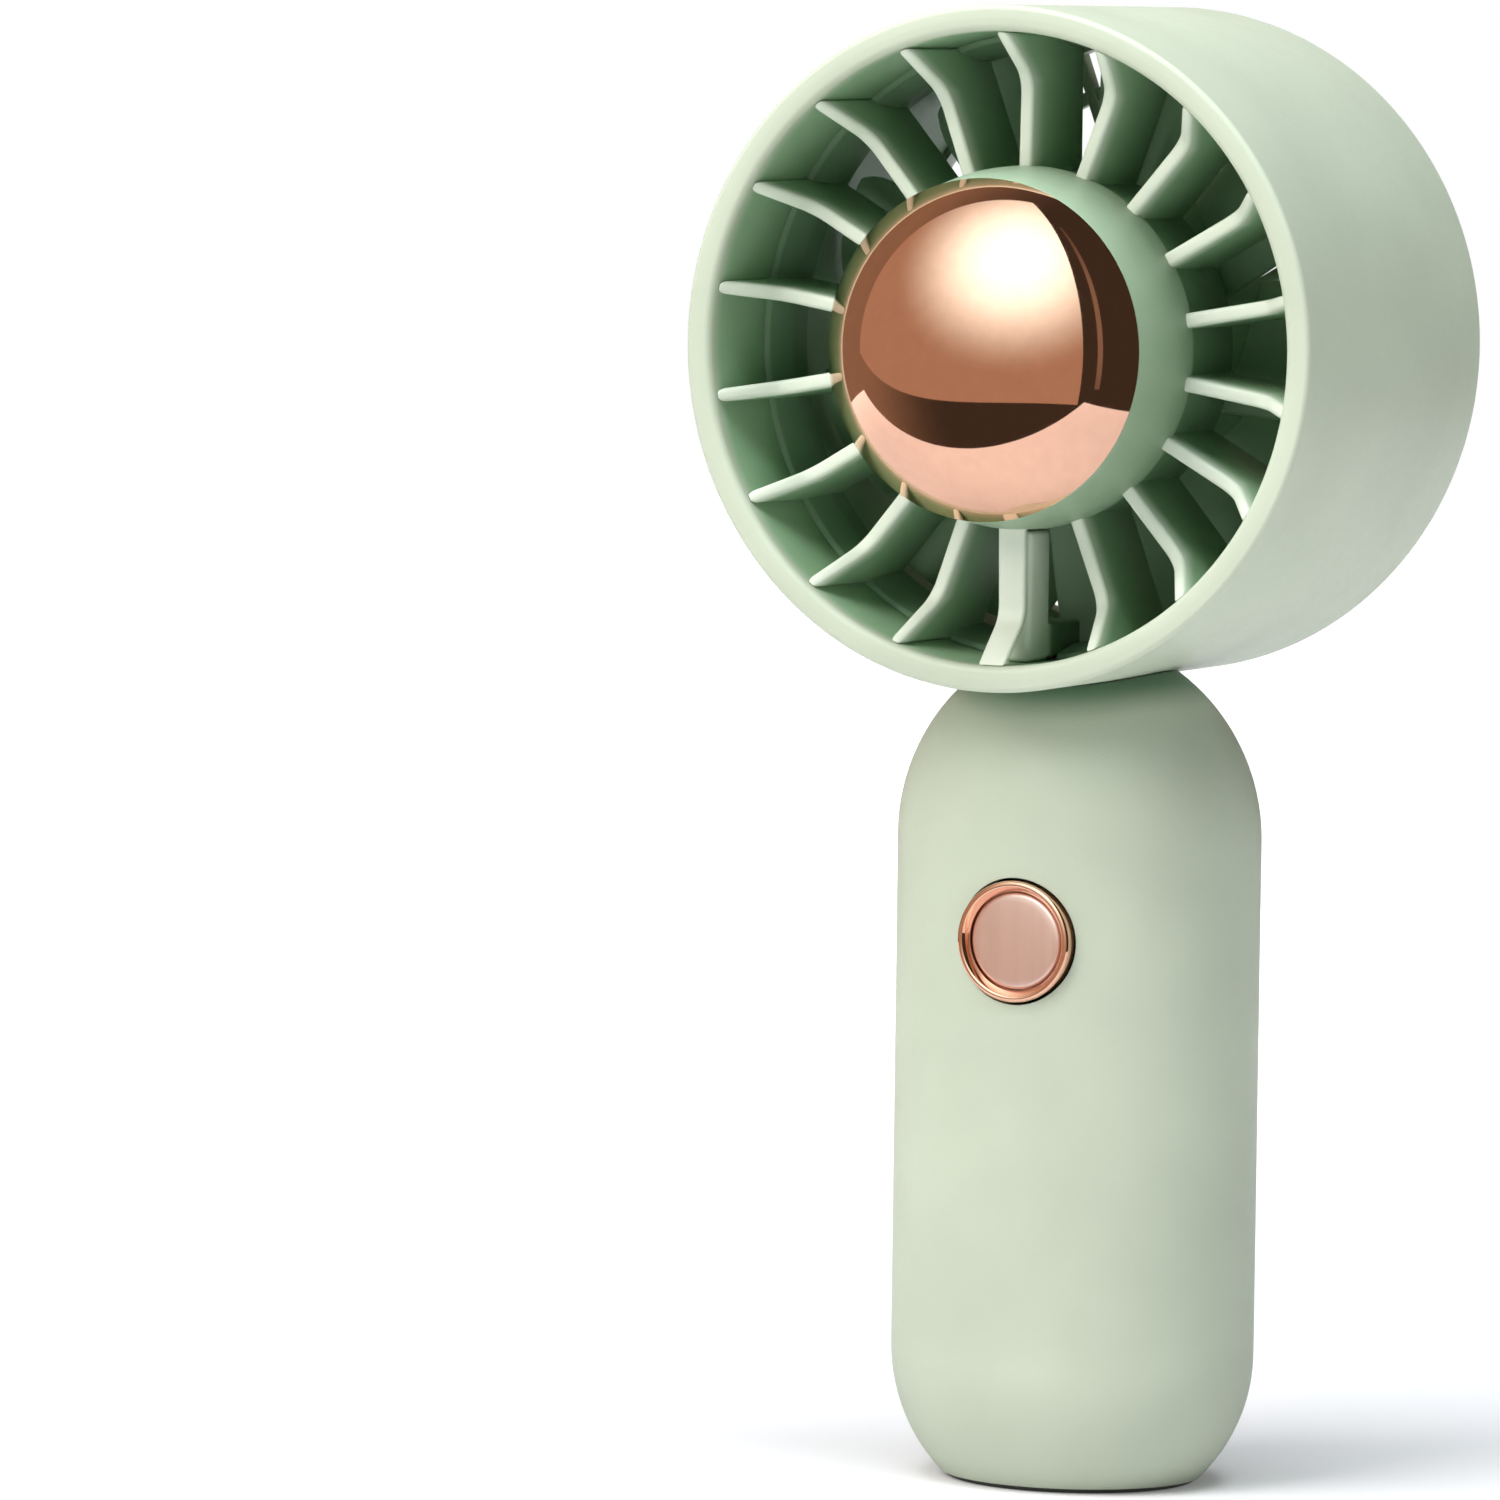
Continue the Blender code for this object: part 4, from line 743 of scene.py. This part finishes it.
HANDLE_A = HANDLE_HIGH.x
HANDLE_B = 15.05 * MM
HANDLE_WALL = 1.8 * MM
LOWER_END_Z = 13.5 * MM
UPPER_END_Z = 64.5 * MM
LOWER_END_RADIUS = 18.2 * MM
UPPER_END_RADIUS = 20.5 * MM
SHELF_LOW = 66.0 * MM
SHELF_HIGH = 68.0 * MM
SLEEVE_TOP = 83.5 * MM       # inside the drum's outline, which cuts the sleeve's top away


def oval_width(z):
    """Half the handle's width at a height, narrowing in an arc at each end."""
    if z < LOWER_END_Z:
        rise = LOWER_END_Z - z
        return HANDLE_A - LOWER_END_RADIUS + math.sqrt(LOWER_END_RADIUS ** 2 - rise ** 2)
    if z > UPPER_END_Z:
        rise = z - UPPER_END_Z
        return HANDLE_A - UPPER_END_RADIUS + math.sqrt(UPPER_END_RADIUS ** 2 - rise ** 2)
    return HANDLE_A


def oval_depth(z):
    """Half the handle's depth at a height; the foot's end is a little rounder than the rest."""
    ratio = HANDLE_B / HANDLE_A
    if z < LOWER_END_Z:
        ratio += 0.09 * (1.0 - z / LOWER_END_Z)
    return oval_width(z) * ratio


def oval(name, sections, material, body, segments=160):
    """A closed solid through oval sections, each (z, half width, half depth)."""
    shape = bmesh.new()
    rings = []
    for z, half_width, half_depth in sections:
        ring = []
        for step in range(segments):
            angle = 2.0 * math.pi * step / segments
            ring.append(shape.verts.new((half_width * math.cos(angle),
                                         half_depth * math.sin(angle), z)))
        rings.append(ring)
    for lower, upper in zip(rings, rings[1:]):
        for step in range(segments):
            after = (step + 1) % segments
            shape.faces.new((lower[step], lower[after], upper[after], upper[step]))
    shape.faces.new(list(reversed(rings[0])))
    shape.faces.new(rings[-1])
    return finish_mesh(name, shape, material, body)


def spaced(low, high, count):
    """Evenly spaced values from low to high, in count steps."""
    return [low + (high - low) * step / count for step in range(count + 1)]


def handle_heights(low, high):
    """Section heights: close together on the rounded ends, wider apart on the straight part."""
    heights = spaced(low, LOWER_END_Z, 14) + spaced(LOWER_END_Z, UPPER_END_Z, 16)[1:]
    heights += spaced(UPPER_END_Z, high, 26)[1:]
    return heights


def handle_solid(name, low, high, material=None, body=None):
    """The handle's outer form between two heights."""
    sections = [(z, oval_width(z), oval_depth(z)) for z in handle_heights(low, high)]
    return oval(name, sections, material, body)


def lower_cavity(name):
    """The hollow of the handle, from its floor up to the shelf under the neck."""
    floor = HANDLE_LOW.z + HANDLE_WALL
    heights = spaced(floor, LOWER_END_Z, 10) + [UPPER_END_Z, SHELF_LOW]
    return oval(name, [(z, oval_width(z) - HANDLE_WALL, oval_depth(z) - HANDLE_WALL)
                       for z in heights], None, None)


def make_handle():
    """The oval sleeve, cut for the drum, the back cover, the button and the port."""
    shell = handle_solid("handle_sleeve", FOOT_HIGH.z + 0.08 * MM, SLEEVE_TOP, material=SAGE,
                         body="housing")
    combine(shell, lower_cavity("cavity"), "DIFFERENCE")
    heights = spaced(SHELF_HIGH, SLEEVE_TOP - 2.0 * MM, 8)
    combine(shell, oval("upper", [(z, oval_width(z) - HANDLE_WALL, oval_depth(z) - HANDLE_WALL)
                                  for z in heights], None, None), "DIFFERENCE")
    saddle = DRUM_RADIUS + 0.12 * MM
    combine(shell, lathe("saddle", [(0.0, -0.03), (saddle, -0.03), (saddle, 0.03), (0.0, 0.03)],
                         None, None, 256), "DIFFERENCE")
    combine(shell, box_solid("opening", (COVER_LOW.x - GAP, 5.0 * MM, COVER_LOW.z - GAP),
                             (COVER_HIGH.x + GAP, 20.0 * MM, COVER_HIGH.z + GAP), 3.0 * MM, 8),
            "DIFFERENCE")
    hole = BEZEL_HIGH.x + 0.26 * MM
    centre = Vector((0.0, 0.0, BUTTON_Z))
    combine(shell, lathe("hole", [(0.0, -0.018), (hole, -0.018), (hole, -0.010), (0.0, -0.010)],
                         None, None, 96, centre), "DIFFERENCE")
    combine(shell, box_solid("port", (-4.9 * MM, PORT_LOW.y - 0.4 * MM, 0.0),
                             (4.9 * MM, PORT_HIGH.y + 0.4 * MM, 4.0 * MM), 0.0), "DIFFERENCE")
    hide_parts("handle_shell")


def make_back_cover():
    """Cover panel on the back of the handle, with a recess for each screw."""
    margin = 0.12 * MM
    cover = box_solid("back_cover_panel", (COVER_LOW.x - margin, 5.5 * MM, COVER_LOW.z - margin),
                      (COVER_HIGH.x + margin, 19.5 * MM, COVER_HIGH.z + margin), 2.85 * MM, 8,
                      SAGE, "housing")
    combine(cover, handle_solid("outside", 2.0 * MM, 70.0 * MM), "INTERSECT")
    combine(cover, lower_cavity("inside"), "DIFFERENCE")
    for z in SCREW_HEIGHTS:
        centre = Vector((0.0, 0.0, z))
        boss = lathe("boss", [(0.0, 9.9 * MM), (2.7 * MM, 9.9 * MM), (2.7 * MM, 13.9 * MM),
                              (0.0, 13.9 * MM)], SAGE, None, 64, centre)
        combine(cover, boss, "UNION")
        recess = lathe("recess", [(0.0, 9.0 * MM), (1.2 * MM, 9.0 * MM), (1.2 * MM, 12.0 * MM),
                                  (2.2 * MM, 12.0 * MM), (2.2 * MM, 17.0 * MM), (0.0, 17.0 * MM)],
                       None, None, 64, centre)
        combine(cover, recess, "DIFFERENCE")
    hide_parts("handle_back_cover")


def make_cover_screws():
    """Pan-head screws with a cross recess."""
    for name, z in zip(("lower", "upper"), SCREW_HEIGHTS):
        low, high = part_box("cover_screw_" + name)
        centre = Vector((0.0, 0.0, z))
        top = high.y
        head = lathe("cover_screw_%s_head" % name, rounded([
            (0.0, low.y), (0.7 * MM, low.y + 0.8 * MM), (0.9 * MM, low.y + 1.2 * MM),
            (0.9 * MM, 12.3 * MM), (1.9 * MM, 12.3 * MM, 0.15 * MM),
            (1.9 * MM, top - 0.35 * MM, 0.3 * MM), (1.2 * MM, top, 1.0 * MM), (0.0, top)],
            steps=4, closed=False), SCREW_STEEL, "housing", 72, centre)
        for wide, tall in ((1.05, 0.19), (0.19, 1.05)):
            cross = box_solid("cross", (-wide * MM, top - 0.55 * MM, z - tall * MM),
                              (wide * MM, top + 1.0 * MM, z + tall * MM))
            combine(head, cross, "DIFFERENCE")
        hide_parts("cover_screw_" + name)


def make_foot():
    """Thin oval foot with a rounded lower edge and a slot round the port."""
    top = FOOT_HIGH.z
    sections = []
    for z, tuck in ((0.0, 0.35 * MM), (0.12 * MM, 0.2 * MM), (top, 0.15 * MM)):
        sections.append((z, oval_width(z) - tuck, oval_depth(z) - tuck))
    foot = oval("foot_pad", sections, FOOT_RUBBER, "housing")
    combine(foot, box_solid("slot", (-5.2 * MM, PORT_LOW.y - 0.7 * MM, -1.0 * MM),
                            (5.2 * MM, PORT_HIGH.y + 0.7 * MM, 2.0 * MM)), "DIFFERENCE")
    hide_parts("base_foot")


def stadium(half_width, half_height, steps=10):
    """Outline of a slot with round ends, in X and Y."""
    points = []
    for side, start in ((1.0, -90.0), (-1.0, 90.0)):
        for step in range(steps + 1):
            angle = math.radians(start + 180.0 * step / steps)
            points.append((side * (half_width - half_height) + half_height * math.cos(angle),
                           half_height * math.sin(angle)))
    return points


def make_port():
    """Drawn steel port shell with round ends and its contact tongue."""
    middle = Vector((0.0, (PORT_LOW.y + PORT_HIGH.y) / 2.0, 0.0))
    outer = stadium(PORT_HIGH.x, (PORT_HIGH.y - PORT_LOW.y) / 2.0)
    inner = stadium(PORT_HIGH.x - 0.3 * MM, (PORT_HIGH.y - PORT_LOW.y) / 2.0 - 0.3 * MM)
    floor = PORT_HIGH.z - 1.2 * MM
    shape = bmesh.new()
    rings = []
    for points, z in ((outer, PORT_HIGH.z), (outer, PORT_LOW.z), (inner, PORT_LOW.z),
                      (inner, floor)):
        rings.append([shape.verts.new((x, middle.y + y, z)) for x, y in points])
    for first, second in zip(rings, rings[1:]):
        for step in range(len(first)):
            after = (step + 1) % len(first)
            shape.faces.new((first[step], first[after], second[after], second[step]))
    shape.faces.new(rings[0])
    shape.faces.new(rings[-1])
    port = finish_mesh("usb_port_shell", shape, NICKEL, "housing")
    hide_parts("usb_port")
    low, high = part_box("usb_tongue")
    tongue = box_solid("usb_port_tongue", low, high, 0.0, 1, BLACK_PLASTIC, "housing")
    round_edges(tongue, 0.12 * MM, 2)
    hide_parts("usb_tongue")


# ---------------------------------------------------------------- button

def make_bezel():
    """Polished ring: a round bead with a bright slope down to the recessed button."""
    centre = Vector((0.0, 0.0, BUTTON_Z))
    bezel = lathe("button_ring", rounded([
        (BEZEL_HIGH.x, BEZEL_LOW.y + 0.05 * MM, 0.42 * MM),
        (BEZEL_HIGH.x, BEZEL_HIGH.y),
        (4.98 * MM, BEZEL_HIGH.y),
        (4.96 * MM, BEZEL_LOW.y + 0.85 * MM, 0.25 * MM),
        (5.5 * MM, BEZEL_LOW.y, 0.3 * MM),
    ], steps=8), ROSE_CHROME, "housing", 160, centre)
    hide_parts("button_bezel")


def make_button_cap():
    """Satin push button with a slightly crowned face."""
    centre = Vector((0.0, 0.0, BUTTON_Z))
    front = BUTTON_LOW.y
    radius = 4.84 * MM
    outline = [(0.0, front)]
    for share in (0.2, 0.4, 0.6, 0.8):
        outline.append((radius * share, front + 0.24 * MM * share ** 2))
    outline += [(radius - 0.45 * MM, front + 0.22 * MM), (radius - 0.2 * MM, front + 0.3 * MM),
                (radius - 0.06 * MM, front + 0.43 * MM), (radius, front + 0.6 * MM),
                (radius, -13.7 * MM), (5.7 * MM, -13.7 * MM), (5.7 * MM, BUTTON_HIGH.y),
                (0.0, BUTTON_HIGH.y)]
    cap = lathe("push_button", outline, ROSE_SATIN, "button", 128, centre)
    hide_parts("button_cap")


# ---------------------------------------------------------------- stage

CAMERA_AZIMUTH = math.radians(26.6)
CAMERA_ELEVATION = math.radians(4.4)
CAMERA_ROLL = math.radians(0.69)
CAMERA_DISTANCE = 0.950
CAMERA_LENS = 228.0
AIM_ACROSS = -33.045 * MM    # the view's centre, to the left of the handle's axis
AIM_HEIGHT = 72.81 * MM


def make_camera():
    """A long lens from the front right, at the height of the fan's top."""
    target = Vector((AIM_ACROSS * math.cos(CAMERA_AZIMUTH), AIM_ACROSS * math.sin(CAMERA_AZIMUTH),
                     AIM_HEIGHT))
    back = Vector((math.sin(CAMERA_AZIMUTH) * math.cos(CAMERA_ELEVATION),
                   -math.cos(CAMERA_AZIMUTH) * math.cos(CAMERA_ELEVATION),
                   math.sin(CAMERA_ELEVATION)))
    right = Vector((math.cos(CAMERA_AZIMUTH), math.sin(CAMERA_AZIMUTH), 0.0))
    up = back.cross(right)
    across = right * math.cos(CAMERA_ROLL) + up * math.sin(CAMERA_ROLL)
    upwards = up * math.cos(CAMERA_ROLL) - right * math.sin(CAMERA_ROLL)
    data = bpy.data.cameras.new("camera")
    data.lens = CAMERA_LENS
    data.sensor_width = 36.0
    data.clip_start = 0.01
    data.clip_end = 20.0
    camera = bpy.data.objects.new("camera", data)
    bpy.context.scene.collection.objects.link(camera)
    turn = Matrix((across, upwards, back)).transposed()
    camera.matrix_world = Matrix.Translation(target + back * CAMERA_DISTANCE) @ turn.to_4x4()
    bpy.context.scene.camera = camera


def stage_piece(name, shape, material, seen_by):
    """Part of the studio: seen_by names the kinds of ray that meet it."""
    mesh = bpy.data.meshes.new(name)
    shape.to_mesh(mesh)
    shape.free()
    mesh.materials.append(material)
    piece = bpy.data.objects.new(name, mesh)
    bpy.context.scene.collection.objects.link(piece)
    for kind in ("camera", "diffuse", "glossy", "shadow"):
        setattr(piece, "visible_" + kind, kind in seen_by)


TABLE_EDGE = -105.0 * MM     # how far in front of the handle the reflected table ends
TABLE_TURN = math.radians(-9.0)
TABLE_LEFT = -0.42
TABLE_RIGHT = 0.21
TABLE_BACK = 0.6
FLOOR_HALF = 1.6
FLOOR_TONE = 0.68
TABLE_TONE = 0.47
TABLE_GLOW_NEAR = 0.12       # distance from the fan where the floor starts to lighten
TABLE_GLOW_FAR = 0.6
TABLE_GLOW_LOW = 0.12        # the floor's own light up to there


def floor_material(name, tone):
    """Matt white table top with painted light: its own glow rises away from the fan into the
    white background.
    """
    material, tree, shader = new_material(name)
    cloud = remap(tree, add_noise(tree, 4.0, 2.0), 0.0, 1.0)
    tree.links.new(mix_colours(tree, cloud, (tone - 0.01,) * 3, (tone + 0.01,) * 3),
                   shader.inputs["Base Color"])
    shader.inputs["Roughness"].default_value = 0.7
    place = tree.nodes.new("ShaderNodeTexCoord")
    reach = tree.nodes.new("ShaderNodeVectorMath")
    reach.operation = "LENGTH"
    glow = tree.nodes.new("ShaderNodeMapRange")
    glow.interpolation_type = "SMOOTHSTEP"
    glow.inputs["From Min"].default_value = TABLE_GLOW_NEAR
    glow.inputs["From Max"].default_value = TABLE_GLOW_FAR
    glow.inputs["To Min"].default_value = TABLE_GLOW_LOW
    glow.inputs["To Max"].default_value = 1.0
    tree.links.new(place.outputs["Object"], reach.inputs[0])
    tree.links.new(reach.outputs["Value"], glow.inputs["Value"])
    shader.inputs["Emission Color"].default_value = (1.0, 1.0, 1.0, 1.0)
    tree.links.new(glow.outputs["Result"], shader.inputs["Emission Strength"])
    return material


def make_floor():
    """White floor, and the smaller table top that the polished dome mirrors."""
    turn = Matrix.Rotation(TABLE_TURN, 3, "Z")
    for name, tone, low, high, lift, seen_by in (
            ("floor", FLOOR_TONE, (-FLOOR_HALF, -FLOOR_HALF), (FLOOR_HALF, FLOOR_HALF), 0.0,
             ("camera", "diffuse", "shadow")),
            ("table_card", TABLE_TONE, (TABLE_LEFT, TABLE_EDGE), (TABLE_RIGHT, TABLE_BACK),
             0.02 * MM, ("glossy",))):
        shape = bmesh.new()
        corners = ((low[0], low[1]), (high[0], low[1]), (high[0], high[1]), (low[0], high[1]))
        shape.faces.new([shape.verts.new(turn @ Vector((x, y, lift))) for x, y in corners])
        stage_piece(name, shape, floor_material(name + "_white", tone), seen_by)


def direction(azimuth, elevation):
    """Unit vector; azimuth 0 is the fan's front and grows to its right as one faces it."""
    azimuth = math.radians(azimuth)
    elevation = math.radians(elevation)
    return Vector((math.sin(azimuth) * math.cos(elevation),
                   -math.cos(azimuth) * math.cos(elevation), math.sin(elevation)))


def glow_material(name, core, edge, peak, near, far):
    """Light from a card: colour core round the peak direction, fading to edge."""
    material = bpy.data.materials.new(name)
    material.use_nodes = True
    tree = material.node_tree
    tree.nodes.clear()
    place = tree.nodes.new("ShaderNodeTexCoord")
    away = tree.nodes.new("ShaderNodeVectorMath")
    away.operation = "DISTANCE"
    away.inputs[1].default_value = peak
    fade = tree.nodes.new("ShaderNodeMapRange")
    fade.interpolation_type = "SMOOTHSTEP"
    fade.inputs["From Min"].default_value = near
    fade.inputs["From Max"].default_value = far
    emission = tree.nodes.new("ShaderNodeEmission")
    output = tree.nodes.new("ShaderNodeOutputMaterial")
    tree.links.new(place.outputs["Object"], away.inputs[0])
    tree.links.new(away.outputs["Value"], fade.inputs["Value"])
    tree.links.new(mix_colours(tree, fade.outputs["Result"], core, edge),
                   emission.inputs["Color"])
    tree.links.new(emission.outputs["Emission"], output.inputs["Surface"])
    return material


def shell_patch(name, radius, azimuths, foot, top, material):
    """Part of a sphere about the head, from the elevation foot(azimuth) up to top."""
    steps = 24
    shape = bmesh.new()
    columns = []
    for column in range(steps + 1):
        azimuth = azimuths[0] + (azimuths[1] - azimuths[0]) * column / steps
        low = foot(azimuth)
        columns.append([shape.verts.new(HEAD + radius * direction(
            azimuth, low + (top - low) * row / steps)) for row in range(steps + 1)])
    for left, right in zip(columns, columns[1:]):
        for row in range(steps):
            shape.faces.new((left[row], right[row], right[row + 1], left[row + 1]))
    stage_piece(name, shape, material, ("glossy",))


# The polished parts mirror cards on spheres about the head; their edges are in degrees
SHELL_RADIUS = 2.0
CARD_RADIUS = 1.5
CARD_LEFT = -86.0
CARD_RIGHT = 54.0
CARD_TOP = 89.9
CARD_FOOT = -29.0            # lower edge at the right end
CARD_CLIMB = 26.0            # how far it rises towards the left end
STRIP_SPAN = (62.5, 65.5)


def softbox_foot(azimuth):
    """The big softbox's lower edge: level on the right, climbing towards its left end."""
    share = (CARD_RIGHT - azimuth) / (CARD_RIGHT - CARD_LEFT)
    return CARD_FOOT + CARD_CLIMB * share ** 4


def make_reflections():
    """What the polished parts mirror: a big softbox, a dim room and one bright strip."""
    room = glow_material("dim_room", (0.28, 0.19, 0.13), (0.05, 0.04, 0.03),
                         HEAD + direction(-115.0, 10.0) * SHELL_RADIUS, 1.2, 2.9)
    shell_patch("room_shell", SHELL_RADIUS, (-180.0, 180.0), lambda azimuth: -89.9, 89.9, room)
    soft = glow_material("softbox_glow", (2.3, 3.0, 3.1), (0.45, 0.31, 0.22),
                         HEAD + direction(12.0, 52.0) * CARD_RADIUS, 0.0, 1.65)
    shell_patch("softbox_card", CARD_RADIUS, (CARD_LEFT, CARD_RIGHT), softbox_foot, CARD_TOP,
                soft)
    strip = glow_material("strip_glow", (0.26, 0.19, 0.14), (0.1, 0.07, 0.05),
                          HEAD + direction(64.0, 15.0) * CARD_RADIUS, 0.3, 1.6)
    shell_patch("strip_card", CARD_RADIUS, STRIP_SPAN, lambda azimuth: -20.0, 70.0, strip)


def add_softbox(name, place, target, size, power, colour=(1.0, 1.0, 1.0)):
    """A soft light aimed at target; it lights the fan but isn't mirrored in it."""
    data = bpy.data.lights.new(name, "AREA")
    data.shape = "RECTANGLE"
    data.size, data.size_y = size
    data.energy = power
    data.color = colour
    light = bpy.data.objects.new(name, data)
    bpy.context.scene.collection.objects.link(light)
    light.location = place
    aim = Vector(target) - Vector(place)
    light.rotation_euler = aim.to_track_quat("-Z", "Y").to_euler()
    light.visible_camera = False
    light.visible_glossy = False


def make_lights():
    """Four soft area lights, and a white background that only the camera sees."""
    target = (0.0, 0.0, 0.09)
    add_softbox("key", HEAD + direction(-31.0, 37.0) * 0.9, target, (0.6, 0.6), 8.1,
                (1.0, 0.94, 0.93))
    add_softbox("top", HEAD + direction(20.0, 80.0) * 1.0, target, (0.9, 0.7), 18.0,
                (0.93, 0.98, 1.04))
    add_softbox("side", HEAD + direction(-95.0, 15.0) * 0.9, target, (0.5, 0.7), 0.6)
    add_softbox("fill", HEAD + direction(75.0, 26.0) * 1.1, target, (0.7, 0.7), 1.4,
                (0.93, 1.0, 0.99))
    world = bpy.data.worlds.new("studio")
    world.use_nodes = True
    background = world.node_tree.nodes["Background"]
    background.inputs["Color"].default_value = (1.0, 1.0, 1.0, 1.0)
    background.inputs["Strength"].default_value = 1.0
    world.cycles_visibility.diffuse = False
    world.cycles_visibility.glossy = False
    bpy.context.scene.world = world
    bpy.context.scene.view_settings.view_transform = "Standard"


# ---------------------------------------------------------------- build

make_camera()
make_floor()
make_reflections()
make_lights()
dress_inner_nodes()
make_drum()
make_front_grille()
make_conduit()
make_hub_cap()
make_rear_grille()
make_impeller()
make_handle()
make_back_cover()
make_cover_screws()
make_foot()
make_port()
make_bezel()
make_button_cap()
